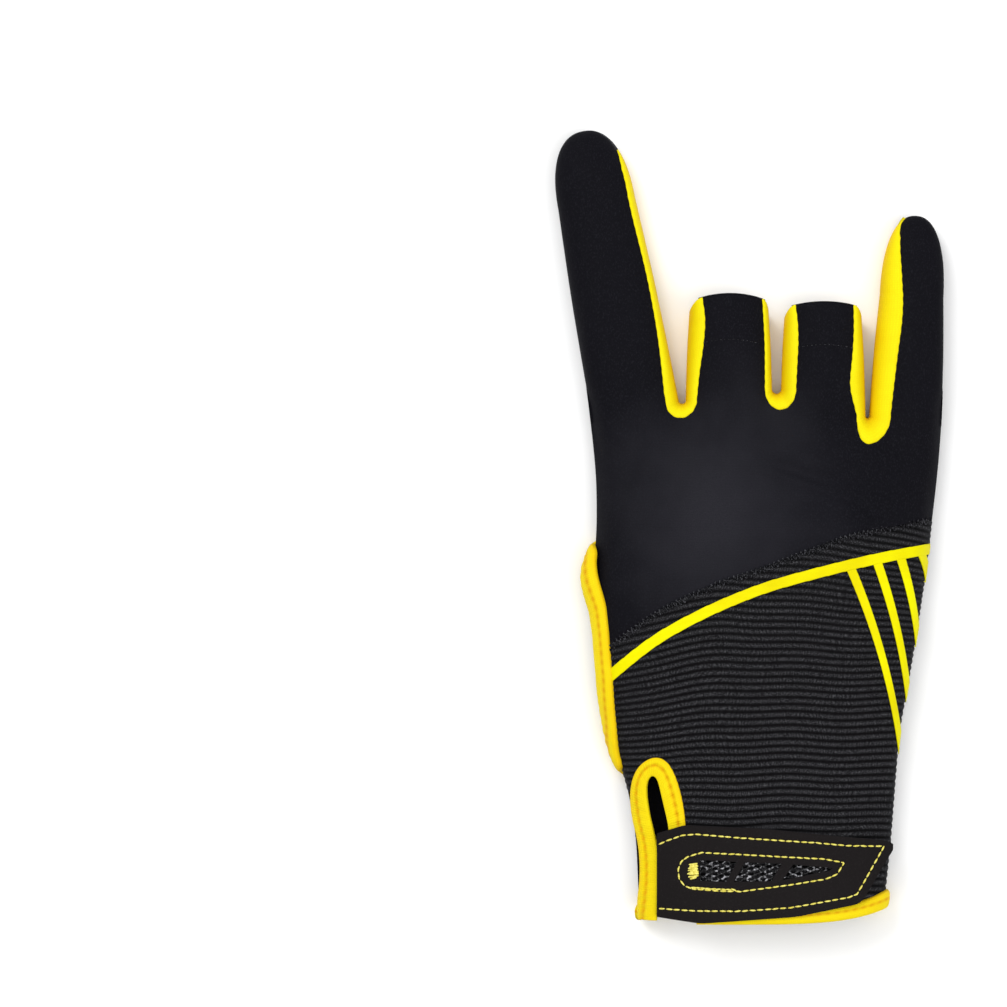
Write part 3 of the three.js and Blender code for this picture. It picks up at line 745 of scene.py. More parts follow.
# The ribbed knit from the cuff up to the seam, as a grid with one row of quads left out at the slit
def ribSheet(columns=(14, 100)):
    low = glove["cuffEnd"] + 3.0
    slitTop = max(slit["inY"]) + slit["under"]
    rows = int((30 - low) / knit["pitch"] * knit["rowsPerRib"])
    share = [np.linspace(0, 1, columns[0] + 1), np.linspace(0, 1, columns[1] + 1)]
    share[1] = 0.45 * np.sin(share[1] * math.pi / 2) + 0.55 * share[1]
    first, count = columns[0] + 1, columns[0] + columns[1] + 2

    def xAt(y):
        sides = outerLeft(y) + thumbInset(y, True), outerRight(y)
        nearSlit = np.minimum(y, slitTop)
        inner = np.maximum(slitLine(nearSlit, -1), sides[0] + 0.2), slitLine(nearSlit, 1)
        middle = (inner[0] + inner[1]) / 2
        closing = 1 - 0.85 * easeIn((y - slitTop) / 6.0)
        inner = middle + (inner[0] - middle) * closing, middle + (inner[1] - middle) * closing
        left = sides[0][:, :first] + (inner[0] - sides[0])[:, :first] * share[0]
        right = inner[1][:, first:] + (sides[1] - inner[1])[:, first:] * share[1]
        return np.concatenate([left, right], 1)

    rise = np.linspace(0, 1, rows)[:, None]
    y = np.broadcast_to(low + (20 - low) * rise, (rows, count)).copy()
    for _ in range(5):
        x = xAt(y)
        cuff = cuffY(turnAtX(x, y, glove["topRoundness"])) + cuffTuck
        y = cuff + (readSeam(x) - cuff) * rise
    x = xAt(y)
    points = np.stack([x, y, topHeight(x, y)], -1)
    quads = gridQuads(rows, count)
    column, row = quads[:, 0] % count, quads[:, 0] // count
    cut = (column == columns[0]) & (y[row, column] < slitTop)
    leg = (column <= columns[0]) & (y[row, column] < handY(slit["legTop"]) - 2.0)
    points = points + gridNormals(points) * (ribHeight(x, y) - knit["height"] / 2)[..., None]
    return points, quads[~(cut | leg)], np.stack([x, y], -1)


points, quads, uv = ribSheet()
ribLevel = ribHeight(uv[..., 0], uv[..., 1]) / knit["height"]
ribPanel = addPiece("rib_cloth", points, quads, uv, ribs=np.stack([uv[..., 0], ribLevel], -1))
addThickness(ribPanel, glove["wall"])

binding = {
    "width": 4.1,
    "proud": 0.75,           # height above the cloth
    "below": 1.5,            # how far it reaches behind the cloth's outer face
    "groove": 0.50,          # depth of the stitched line along its middle
    "groovePlace": 0.20,     # its place and width, as shares of the half width
    "grooveWidth": 0.17,
    "ribs": 0.05,            # height of the fine cross ribs
    "ribPitch": 0.75,
    "stitchPitch": 2.6,
    "pucker": 0.10,
    "uneven": 0.09,          # slow swelling along it, with a new value every few millimetres
    "unevenPitch": 4,
    "sides": 44,
}


# Closed profile of a binding: a superellipse, across and up
def bindingProfile():
    turn = np.linspace(0, 2 * math.pi, binding["sides"], endpoint=False)
    c, s = np.cos(turn), np.sin(turn)
    across = np.sign(c) * np.abs(c) ** 0.75 * binding["width"] / 2
    up = np.sign(s) * np.abs(s) ** 0.62
    up = np.where(up > 0, up * binding["proud"], up * binding["below"])
    return across, up, s


# A binding along a place function of the path's station and the distance across the band.
# Each profile point lies on the surface at its distance across and is lifted along the surface's normal.
# The groove, the cross ribs and the pucker between stitches are added to the lift.
def carryBinding(place, stations, seed):
    across, up, s = bindingProfile()
    station, a = np.meshgrid(stations, across, indexing="ij")
    step = (stations[1] - stations[0]) * 0.5
    base = place(station, a)
    along = place(station + step, a) - place(station - step, a)
    aside = place(station, a + 0.15) - place(station, a - 0.15)
    normal = np.cross(aside, along)
    normal /= np.maximum(np.linalg.norm(normal, axis=-1, keepdims=True), 1e-9)
    run = runLength(place(stations[:, None], np.zeros((len(stations), 1)))[:, 0])
    outer = np.clip(s, 0, 1)
    fromGroove = across / (binding["width"] / 2) - binding["groovePlace"]
    groove = np.exp(-(fromGroove / binding["grooveWidth"]) ** 2)
    stitch = 0.7 + 0.3 * np.cos(run / binding["stitchPitch"] * 2 * math.pi)
    random = np.random.default_rng(seed)
    knots = random.normal(0, 1, int(run[-1] / binding["unevenPitch"]) + 3)
    uneven = np.interp(run / binding["unevenPitch"], np.arange(len(knots)), knots)
    lift = up[None, :] - binding["groove"] * groove * outer * stitch[:, None]
    lift = lift + binding["ribs"] * outer * np.sin(run / binding["ribPitch"] * 2 * math.pi)[:, None]
    lift = lift - binding["pucker"] * outer * (stitch[:, None] - 0.7)
    lift = lift + binding["uneven"] * outer * uneven[:, None]
    points = base + normal * lift[..., None]
    points[..., 2] = np.maximum(points[..., 2], 0.03)
    uv = np.stack(np.broadcast_arrays(run[:, None], across[None, :]), -1)
    return points, uv


# A carried binding as quads, closed round its profile and along its path or with filled ends
def bindingMesh(name, place, stations, closed, seed):
    points, uv = carryBinding(place, stations, seed)
    rows, columns = points.shape[:2]
    quads = gridQuads(rows, columns, closedRow=True, closedColumn=closed)
    piece = addPiece(name, points, quads, uv)
    work = bmesh.new()
    work.from_mesh(piece.data)
    if not closed:
        bmesh.ops.holes_fill(work, edges=[edge for edge in work.edges if edge.is_boundary], sides=0)
    bmesh.ops.recalc_face_normals(work, faces=work.faces)
    work.to_mesh(piece.data)
    work.free()
    piece.data.polygons.foreach_set("use_smooth", np.ones(len(piece.data.polygons), bool))
    return piece


# Rim of the thumb hole: y runs as the cosine of the turn. The distance in from the side comes from the
# back's table where the sine is positive, and elsewhere is the palm's reach times the sine, below 0.
def thumbPlace(turn, a):
    middle = handY(thumb["middle"])
    grow = binding["width"] / 2 + a
    y = middle + (thumb["length"] / 2 + grow) * np.cos(turn)
    s = np.abs(np.sin(turn))
    reach = (thumb["length"] + binding["width"]) / 2
    onBack = readThumbLine(middle + reach * np.cos(turn)) + a * s ** 0.6
    onPalm = thumb["end"] * (1 - s) - (thumb["onPalm"] + grow) * s
    distance = np.where(np.sin(turn) >= 0, onBack, onPalm)
    points = handPoint(y, turnFromEdge(y, np.abs(distance), distance >= 0))
    points[..., 0] -= readFlare(y) * np.exp(-(distance / thumb["flareWidth"]) ** 2)
    return points


# Between the slit's inner and outer lines; on the thumb's side the outer line is the side of the hand
def slitPlace(step, a):
    share = a / binding["width"] + 0.5
    x = readSlit["inX"](step) + (readSlit["outX"](step) - readSlit["inX"](step)) * share
    y = readSlit["inY"](step) + (readSlit["outY"](step) - readSlit["inY"](step)) * share
    x = np.maximum(x, leftEdge(y) + 0.03)
    return np.stack([x, y, topHeight(x, y)], -1)


# Edge of the cuff, a little wider on the little finger's side
def cuffPlace(turn, a):
    wider = 1 + 0.3 * ((1 + np.cos(turn)) / 2) ** 6
    return handPoint(cuffY(turn) + (binding["width"] / 2 + a) * wider, turn)


# The cuff's band starts under the strap, at this x, and ends just round the thumb's side
cuffFrom = -19.5
cuffPast = 0.12
cuffStart = float(turnAtX(np.array(cuffFrom), np.array(glove["cuffEnd"] + 2), glove["topRoundness"]))
thumbTurns = np.linspace(0, 2 * math.pi, 720, endpoint=False)
slitStations = np.linspace(0.02, len(slitSteps) - 1.02, 560)
cuffTurns = np.linspace(cuffStart, -math.pi + cuffPast, 900)
thumbBinding = bindingMesh("thumb_edge", thumbPlace, thumbTurns, True, 3)
slitBinding = bindingMesh("slit_edge", slitPlace, slitStations, False, 5)
cuffBinding = bindingMesh("cuff_edge", cuffPlace, cuffTurns, False, 7)

strap = {
    "left": -30.9,
    "low": -86.2,
    "length": 67.4,
    "width": 28.0,
    "thickness": 1.3,
    "lift": 1.0,             # its underside stands this high over the hand's surface
    "stiff": 0.95,           # it bends less than the hand under it
    "channel": 0.32,         # depth of the stitched lines
    "windowSlant": 3.0,
    "windows": [[-18.8, -9.8], [-7.6, 3.0], [6.2, 18.4]],     # from and to, at half their height
    "windowX": [-19.5, -10.0, 4.0, 9.0, 18.5],
    "windowTop": [-68.0, -68.5, -69.0, -69.5, -70.4],
    "windowLow": [-73.9, -74.2, -74.0, -73.2, -71.2],
    "corner": 0.016,         # how far its corners are rounded, as a share of its length
    "topOut": [0.0, 0.11, 0.43, 0.985, 1.0],
    "topUp": [0.914, 1.0, 0.971, 0.836, 0.800],
    "lowOut": [0.0, 0.183, 0.588, 0.863, 0.957, 1.0],
    "lowUp": [0.064, 0.004, 0.075, 0.207, 0.586, 0.740],
}
readStrapTop = smoothReader(strap["topOut"], strap["topUp"], strap["corner"])
readStrapLow = smoothReader(strap["lowOut"], strap["lowUp"], strap["corner"])


# Height of the strap's outer face: a dome like the hand's, but flatter towards the side
def strapHeight(x, y):
    u = acrossShare(x, y) * strap["stiff"]
    rise = readHand["height"](y) * glove["palmHeight"] - glove["seamHeight"]
    out = (x - strap["left"]) / strap["length"]
    tucked = strap["lift"] * (0.15 + 0.85 * easeIn(out / 0.12))
    return glove["seamHeight"] + rise * dome(u, glove["topRoundness"]) + tucked + strap["thickness"]


# Plan distance from points to a chain of straight lines
def distanceToLine(x, y, line):
    best = np.full(x.shape, 1e9)
    for (ax, ay), (bx, by) in zip(line[:-1], line[1:]):
        length = (bx - ax) ** 2 + (by - ay) ** 2
        t = np.clip(((x - ax) * (bx - ax) + (y - ay) * (by - ay)) / length, 0, 1)
        best = np.minimum(best, np.hypot(x - ax - t * (bx - ax), y - ay - t * (by - ay)))
    return best


# Stitch lines on the strap, in millimetres in plan
strapLines = {
    "outer": [(-30.5, -63.8), (-27.4, -62.4), (-23.6, -61.0), (-19.6, -60.7), (-7.2, -61.7), (14.2, -63.1),
              (23.5, -64.0), (33.8, -64.3), (26.0, -77.8), (23.5, -78.7), (7.1, -81.5), (-7.1, -82.5),
              (-19.6, -82.5), (-30.2, -82.0)],
    "inner": [(-20.9, -76.2), (-23.1, -75.4), (-24.6, -73.4), (-24.9, -70.9), (-24.1, -68.6), (-22.2, -67.1),
              (-18.3, -65.9), (-7.2, -66.4), (7.1, -67.2), (16.4, -67.7), (22.2, -68.8), (20.3, -72.0),
              (17.1, -73.4), (7.1, -75.0), (-7.1, -76.9), (-13.1, -76.8), (-20.9, -76.2)],
}


# A chain of straight lines sampled evenly
def evenLine(line, spacing=0.4):
    line = np.asarray(line, float)
    run = runLength(line)
    steps = np.linspace(0, run[-1], max(int(run[-1] / spacing), 2))
    return np.stack([np.interp(steps, run, line[:, 0]), np.interp(steps, run, line[:, 1])], -1)


# The strap as a grid: columns follow the windows' ends and lean with them, rows follow their upper and
# lower edges; the quads of the windows are left out
def strapSheet():
    stops = [strap["left"]] + [x for window in strap["windows"] for x in window]
    stops.append(strap["left"] + strap["length"])
    columnCounts = [34, 26, 8, 30, 9, 34, 58]
    columnParts = [np.linspace(a, b, n + 1)[:-1] for a, b, n in zip(stops[:-1], stops[1:], columnCounts)]
    along = np.concatenate(columnParts + [[stops[-1]]])
    rowCounts = [34, 18, 34]
    band = np.concatenate([np.linspace(i, i + 1, n + 1)[:-1] for i, n in enumerate(rowCounts)] + [[3.0]])
    out = (along - strap["left"]) / strap["length"]
    edges = np.stack([
        strap["low"] + readStrapLow(out) * strap["width"],
        np.interp(along, strap["windowX"], strap["windowLow"]),
        np.interp(along, strap["windowX"], strap["windowTop"]),
        strap["low"] + readStrapTop(out) * strap["width"],
    ])
    ends = np.clip((out - 0.90) / 0.10, 0, 1)
    third = edges[0] + (edges[3] - edges[0]) * np.array([[0.0], [0.36], [0.64], [1.0]])
    edges = edges + (third - edges) * easeIn(ends)
    row = np.minimum(band.astype(int), 2)
    share = (band - row)[:, None]
    y = edges[row] + (edges[row + 1] - edges[row]) * share
    lean = np.interp(band, [0, 1, 2, 3], [0, -0.5, 0.5, 0])[:, None] * strap["windowSlant"]
    taper = np.interp(along, [-24.0, -18.8, -17.0, 16.0, 18.4, 24.0], [0, 0, 1, 1, 0.3, 0])
    x = along + lean * taper
    z = strapHeight(x, y)
    for line in strapLines.values():
        z = z - strap["channel"] * np.exp(-(distanceToLine(x, y, line) / 0.65) ** 2)
    points = np.stack([x, y, z], -1)
    quads = gridQuads(len(band), len(along))
    column, rowAt = quads[:, 0] % len(along), quads[:, 0] // len(along)
    open_ = np.zeros(len(quads), bool)
    start = np.cumsum([0] + columnCounts)
    for number in (1, 3, 5):
        open_ |= (column >= start[number]) & (column < start[number + 1])
    open_ &= (rowAt >= rowCounts[0]) & (rowAt < rowCounts[0] + rowCounts[1])
    return points, quads[~open_], np.stack([x, y], -1)


strapPiece = addPiece("wrist_strap", *strapSheet())
addThickness(strapPiece, strap["thickness"])
soft = strapPiece.modifiers.new("soft edges", "BEVEL")
soft.width = 0.28 * metre
soft.segments = 2
soft.limit_method = "ANGLE"
soft.angle_limit = math.radians(50)


# Tubes along many paths at once: a ring of points round each path point, in the plane across its run
def tubes(paths, radius, sides):
    paths = np.asarray(paths, float)
    run = np.gradient(paths, axis=1)
    run /= np.maximum(np.linalg.norm(run, axis=-1, keepdims=True), 1e-9)
    up = np.broadcast_to(np.array([0.0, 0.0, 1.0]), run.shape)
    aside = np.cross(run, up)
    aside /= np.maximum(np.linalg.norm(aside, axis=-1, keepdims=True), 1e-9)
    lift = np.cross(aside, run)
    turn = np.linspace(0, 2 * math.pi, sides, endpoint=False)
    radius = np.broadcast_to(np.asarray(radius, float), paths.shape[:2])
    ring = aside[:, :, None] * np.cos(turn)[:, None] + lift[:, :, None] * np.sin(turn)[:, None]
    points = paths[:, :, None] + ring * radius[:, :, None, None]
    count, rows = paths.shape[:2]
    quads = gridQuads(rows, sides, closedRow=True)
    every = quads[None] + (np.arange(count) * rows * sides)[:, None, None]
    along = np.concatenate([np.zeros((count, 1)),
                            np.cumsum(np.linalg.norm(np.diff(paths, axis=1), axis=-1), axis=1)], 1)
    uv = np.stack(np.broadcast_arrays(along[:, :, None], turn * radius[:, :1, None]), -1)
    return points.reshape(-1, 3), every.reshape(-1, 4), uv.reshape(-1, 2)


# Stitches along a plan line on a surface: each is a short arched thread whose ends go into the cloth
def stitchRow(line, height, pitch, length, radius, rise=0.25, sides=6, rows=7, seed=1, stray=0.0):
    line = np.asarray(line, float)
    run = runLength(line)
    random = np.random.default_rng(seed)
    middles = np.arange(pitch / 2, run[-1], pitch)
    middles = middles + random.normal(0, 0.04 * pitch, len(middles))
    share = np.linspace(-0.5, 0.5, rows)
    at = middles[:, None] + share * length
    x = np.interp(at, run, line[:, 0])
    y = np.interp(at, run, line[:, 1])
    tilt = random.normal(0, stray, (len(middles), 1)) * share * 2
    dx = np.gradient(x, axis=1)
    dy = np.gradient(y, axis=1)
    norm = np.hypot(dx, dy) + 1e-9
    x, y = x - dy / norm * tilt, y + dx / norm * tilt
    z = height(x, y) + rise * np.cos(math.pi * share) - 0.5 * rise
    thick = radius * (0.35 + 0.65 * np.cos(math.pi * share) ** 0.5)
    return tubes(np.stack([x, y, z], -1), np.broadcast_to(thick, x.shape), sides)


thread = {
    "pitch": 2.15,
    "length": 1.8,
    "radius": 0.26,
    "doubled": [(-21.5, -75.8), (-13.1, -76.3), (-8.5, -76.4)],    # sewn over twice along this line
    "doubledPitch": 1.45,
    "doubledRadius": 0.24,
}


def grooveHeight(x, y):
    return strapHeight(x, y) - strap["channel"] * 0.75


def strapThread():
    rows = [
        (strapLines["outer"], thread["pitch"], thread["radius"], 11, 0.05),
        (strapLines["inner"], thread["pitch"], thread["radius"], 12, 0.05),
        (thread["doubled"], thread["doubledPitch"], thread["doubledRadius"], 13, 0.2),
    ]
    return joinGrids([
        stitchRow(evenLine(line), grooveHeight, pitch, thread["length"], radius, seed=seed, stray=stray)
        for line, pitch, radius, seed, stray in rows
    ])


strapStitches = addPiece("strap_thread", *strapThread())


# Bar of thread at the windows' left end: short threads side by side, a little uneven
def barTack(middle, width, height, count, seed):
    random = np.random.default_rng(seed)
    share = np.linspace(-0.5, 0.5, 9)
    level = np.linspace(-0.5, 0.5, count)[:, None] + random.normal(0, 0.02, (count, 1))
    reach = width * (1 + random.normal(0, 0.16, (count, 1)))
    x = middle[0] + share * reach + random.normal(0, 0.12, (count, 1))
    y = middle[1] + level * height + share * random.normal(0.35, 0.2, (count, 1))
    z = strapHeight(x, y) + 0.42 * np.cos(math.pi * share) - 0.12
    return tubes(np.stack(np.broadcast_arrays(x, y, z), -1), 0.24, 6)


strapTack = addPiece("strap_tack", *barTack((-20.6, -71.2), 2.2, 4.0, 12, 21))


# Net behind the windows: strands that swing up and down so that neighbours touch, as in a hexagon net
def netStrands():
    net = {"pitch": 1.45, "swing": 0.62, "step": 1.7, "radius": 0.26}
    x = np.arange(-21.0, 21.5, 0.12)
    levels = np.arange(-76.0, -66.0, net["pitch"] / 2)
    wave = np.clip(1.6 * np.sin(2 * math.pi * x / (2 * net["step"])), -1, 1)
    side = np.where(np.arange(len(levels)) % 2, 1.0, -1.0)[:, None]
    y = levels[:, None] + side * wave * net["swing"] * 0.5
    x = np.broadcast_to(x, y.shape)
    low = np.interp(x, strap["windowX"], strap["windowLow"]) - 1.6
    high = np.interp(x, strap["windowX"], strap["windowTop"]) + 1.6
    y = np.clip(y, low, high)
    z = strapHeight(x, y) - strap["thickness"] - 0.35 + 0.16 * side * np.cos(math.pi * x / net["step"])
    return tubes(np.stack([x, y, z], -1), net["radius"], 6)


strapNet = addPiece("strap_net", *netStrands())

# Stripe and bars of yellow film on the knit. Across is a share of the width, along of the length.
film = {
    "blur": 5.0,
    "edgeAcross": [-0.620, -0.560, -0.443, -0.330, -0.168, -0.009, 0.153, 0.313, 0.463, 0.560],
    "edgeAlong": [0.372, 0.410, 0.479, 0.541, 0.597, 0.639, 0.667, 0.692, 0.709, 0.718],
    "width": 3.0,
    "thickness": 0.3,
    "over": 0.16,            # how far its underside stands above the middle of the ribs
    "sink": 0.10,            # the ribs below show through a little
}
bars = {
    "across": [0.243, 0.318, 0.386, 0.444],
    "along": [0.665, 0.680, 0.690, 0.700],
    "endAcross": [0.401, 0.424, 0.447, 0.474],
    "endAlong": [0.288, 0.370, 0.500, 0.630],
    "bend": [2.2, 1.6, 0.9, 0.7],
}
bar = {"width": 2.6, "tipWidth": 1.4}
readFilm = readAcross(film, "edgeAcross", "edgeAlong")


# A flat band over the knit from its two plan edges, lifted along the surface's normal. Its points past
# the side of the hand are moved on to it, and the quads that lie wholly past it are left out.
def filmBand(first, second, columns=11, lower=0.0):
    share = np.linspace(0, 1, columns)[:, None]
    plan = first[:, None] + (second - first)[:, None] * share
    x, y = plan[..., 0], plan[..., 1]
    inside = (x > outerLeft(y)) & (x < outerRight(y))
    x = np.clip(x, outerLeft(y) + 0.02, outerRight(y) - 0.02)
    ribs = film["sink"] * (ribHeight(x, y) / knit["height"] - 0.5)
    grid = np.stack([x, y, topHeight(x, y) + ribs], -1)
    quads = gridQuads(*y.shape)
    quads = quads[inside.reshape(-1)[quads].any(1)]
    normal = gridNormals(grid)
    flip = normal[..., 2].mean() < 0
    grid = grid + (-normal if flip else normal) * (film["over"] + film["thickness"] - lower)
    return grid, quads[:, ::-1] if flip else quads, plan


def filmParts():
    y0 = readFilm(np.array([-45.0]))
    left = float((outerLeft(y0) + thumbInset(y0, True))[0]) - 1.0
    ease = np.sin(np.linspace(0, math.pi / 2, 90))
    x = np.concatenate([np.linspace(left, 25, 170)[:-1], 25 + (47.0 - 25) * ease])
    upper = np.stack([x, readFilm(x)], -1)
    run = np.gradient(upper, axis=0)
    run /= np.linalg.norm(run, axis=1, keepdims=True)
    lower = upper + np.stack([run[:, 1], -run[:, 0]], -1) * film["width"]
    parts = [filmBand(upper, lower)]
    for number in range(len(bars["across"])):
        top = np.array([bars["across"][number] * glove["palmWidth"], handY(bars["along"][number])])
        end = np.array([bars["endAcross"][number] * glove["palmWidth"], handY(bars["endAlong"][number])])
        share = np.linspace(0, 1, 110)[:, None]
        direction = (end - top) / np.linalg.norm(end - top)
        aside = np.array([-direction[1], direction[0]])
        middle = top + (end - top) * share + aside * bars["bend"][number] * 4 * share * (1 - share)
        half = (bar["width"] + (bar["tipWidth"] - bar["width"]) * share) / 2
        parts.append(filmBand(middle + aside * half, middle - aside * half, 9, lower=0.012))
    return joinGrids(parts)


filmPiece = addPiece("film", *filmParts())
addThickness(filmPiece, film["thickness"])

# Overlocked seam between smooth cloth and knit: two dark threads that zigzag across it and cross each other
overlock = {"pitch": 1.35, "width": 2.0, "radius": 0.19, "below": 0.45, "lift": 0.30}


def seamThread():
    x = np.arange(-52.0, 48.5, 0.02)
    y = readSeam(x)
    run = np.concatenate([[0], np.cumsum(np.hypot(np.diff(x), np.diff(y)))])
    inside = (x > outerLeft(y) + thumbInset(y, True) + 0.5) & (x < outerRight(y) - 0.3)
    first, last = run[inside][0], run[inside][-1]
    at = np.arange(first, last, overlock["pitch"] / 12)
    px, py = np.interp(at, run, x), np.interp(at, run, y)
    dx, dy = np.gradient(px), np.gradient(py)
    norm = np.hypot(dx, dy)
    random = np.random.default_rng(31)
    paths = []
    for phase, sign in ((0.0, 1), (0.5, -1)):
        wave = 2 / math.pi * np.arcsin(np.sin((at / overlock["pitch"] + phase) * 2 * math.pi))
        knots = random.normal(0, 0.10, int(at[-1]) + 3)
        stray = np.interp(at, np.arange(len(knots)) * overlock["pitch"], knots)
        aside = sign * wave * overlock["width"] / 2 - overlock["below"] + stray
        qx, qy = px - dy / norm * aside, py + dx / norm * aside
        z = topHeight(qx, qy) + overlock["lift"] + 0.1 * sign * np.sin(at / overlock["pitch"] * 4 * math.pi)
        paths.append(np.stack([qx, qy, z], -1))
    parts = [tubes([path], overlock["radius"], 5) for path in paths]
    return joinGrids(parts)


seamPiece = addPiece("seam_thread", *seamThread())

# Dark stitches of the short fingers' hems, a line across each finger below its open end
hem = {"depth": {"middle": 13.2, "ring": 12.4}, "pitch": 1.25, "length": 0.8, "radius": 0.13}


def hemLine(name):
    finger = fingers[name]
    root, _, _ = fingerFrame(finger)
    half = finger["width"] * glove["palmWidth"] / 2 - 3.2
    across = np.linspace(-half, half, 60)
    y = root[1] + finger["length"] - hem["depth"][name] - finger["arch"] * (across / half) ** 2 * 0.6
    return np.stack([root[0] + across, y], -1)


parts = []
for number, name in enumerate(("middle", "ring")):
    parts.append(stitchRow(hemLine(name), topHeight, hem["pitch"], hem["length"], hem["radius"],
                           rise=0.14, rows=6, sides=5, seed=41 + number, stray=0.03))
hemPiece = addPiece("hem_thread", *joinGrids(parts))

# Raised grip print of the palm: the lines of an uneven honeycomb, each a low rounded bead
grip = {
    "cell": 7.2,             # distance of the cells' middles
    "jitter": 0.24,          # how uneven the honeycomb is, as a share of a cell
    "width": 0.50,
    "height": 0.26,
    "margin": 1.1,           # it keeps this far from the panel's edges
    "missing": 0.02,
}


# How deep plan points lie inside the palm panel, in millimetres, roughly
def insidePalm(x, y):
    inside = np.minimum(x - outerLeft(y) - thumbInset(y, False), outerRight(y) - x)
    inside = np.minimum(inside, y - palmCuff(x))
    inside = np.where(y < glove["knuckles"] + 2, inside, -9.0)
    for gap in strips.values():
        left, right, low = notchEdges(gap, np.ravel(y), False)
        left, right = left.reshape(x.shape), right.reshape(x.shape)
        space = np.minimum(x - left, right - x)
        inside = np.where(y > low - grip["margin"], np.minimum(inside, -space), inside)
    for name, finger in fingers.items():
        distance, aside = inFinger(finger, x, y)
        half, _, round_ = fingerForm(finger, distance)
        end = finger["length"] - (palmShorter + finger.get("arch", 0) if "arch" in finger else 0.8)
        own = np.minimum(half * round_ - np.abs(aside) - 0.4, end - distance)
        inside = np.where(y >= glove["knuckles"] + 2, np.maximum(inside, own), inside)
    return inside


def gripPrint():
    side = grip["cell"] / math.sqrt(3)
    columns = np.arange(-14, 14)
    rowNumbers = np.arange(-16, 30)
    c, r = np.meshgrid(columns, rowNumbers, indexing="ij")
    middle = np.stack([c * grip["cell"] + (r % 2) * grip["cell"] / 2, r * 1.5 * side], -1)
    lower = middle + np.array([0, -side])
    left = middle + np.array([-grip["cell"] / 2, -side / 2])
    random = np.random.default_rng(51)
    lower = lower + random.uniform(-1, 1, lower.shape) * grip["jitter"] * grip["cell"]
    left = left + random.uniform(-1, 1, left.shape) * grip["jitter"] * grip["cell"]
    odd = (r % 2).astype(int)
    # every lower corner is joined to the left corners of its own cell and of the next one, and every left
    # corner to the corner above it, which is the lower corner of the cell up and to the left
    upIndex = c - columns[0] - 1 + odd
    upRow = r - rowNumbers[0] + 1
    ok = (upIndex >= 0) & (upIndex < len(columns)) & (upRow < len(rowNumbers))
    up = lower[np.clip(upIndex, 0, len(columns) - 1), np.clip(upRow, 0, len(rowNumbers) - 1)]
    starts = np.concatenate([lower.reshape(-1, 2), lower.reshape(-1, 2), left[ok]])
    stops = np.concatenate([left.reshape(-1, 2), np.roll(left, -1, 0).reshape(-1, 2), up[ok]])
    length = np.linalg.norm(stops - starts, axis=1)
    share = np.linspace(0, 1, 8)[:, None]
    paths = starts[:, None] + (stops - starts)[:, None] * share
    deep = insidePalm(paths[..., 0], paths[..., 1]).min(1)
    keep = (deep > grip["margin"]) & (length < 1.5 * grip["cell"]) & (length > 0.5)
    keep &= random.random(len(keep)) > grip["missing"]
    paths, length = paths[keep], length[keep]
    run = (paths[:, -1] - paths[:, 0]) / length[:, None]
    aside = np.stack([-run[:, 1], run[:, 0]], -1)
    profile = np.linspace(-1, 1, 5)
    plan = paths[:, :, None] + aside[:, None, None] * (profile[:, None] * grip["width"] / 2)
    bead = np.sqrt(np.clip(1 - profile ** 2, 0, 1)) * grip["height"]
    z = palmHeight(plan[..., 0], plan[..., 1]) + 0.02 - bead
    points = np.concatenate([plan, np.maximum(z, 0.03)[..., None]], -1)
    count, rows, sides = points.shape[:3]
    quads = gridQuads(rows, sides)
    every = quads[None] + (np.arange(count) * rows * sides)[:, None, None]
    return points.reshape(-1, 3), every.reshape(-1, 4), plan.reshape(-1, 2)


gripPiece = addPiece("grip_print", *gripPrint())


# Links an output to a socket, or sets the socket's value
def fillSocket(tree, socket, value):
    if isinstance(value, bpy.types.NodeSocket):
        tree.links.new(value, socket)
    else:
        socket.default_value = value


def addNode(tree, kind, inputs=None, **settings):
    node = tree.nodes.new(kind)
    for key, value in settings.items():
        setattr(node, key, value)
    for key, value in (inputs or {}).items():
        fillSocket(tree, node.inputs[key], value)
    return node


def mathNode(tree, operation, first, second=0.0, third=0.0):
    return addNode(tree, "ShaderNodeMath", {0: first, 1: second, 2: third}, operation=operation).outputs[0]


def mixColour(tree, share, first, second):
    node = addNode(tree, "ShaderNodeMix", {0: share}, data_type="RGBA")
    for number, value in ((6, first), (7, second)):
        fillSocket(tree, node.inputs[number], (*value, 1) if isinstance(value, tuple) else value)
    return node.outputs[2]


def newGroup(name, inputs, outputs):
    tree = bpy.data.node_groups.new(name, "ShaderNodeTree")
    for label, kind, value in inputs:
        socket = tree.interface.new_socket(label, in_out="INPUT", socket_type=kind)
        if value is not None:
            socket.default_value = value
    for label, kind in outputs:
        tree.interface.new_socket(label, in_out="OUTPUT", socket_type=kind)
    return tree, tree.nodes.new("NodeGroupInput").outputs, tree.nodes.new("NodeGroupOutput").inputs


def useGroup(tree, group, inputs):
    node = addNode(tree, "ShaderNodeGroup", node_tree=group)
    for key, value in inputs.items():
        fillSocket(tree, node.inputs[key], value)
    return node.outputs


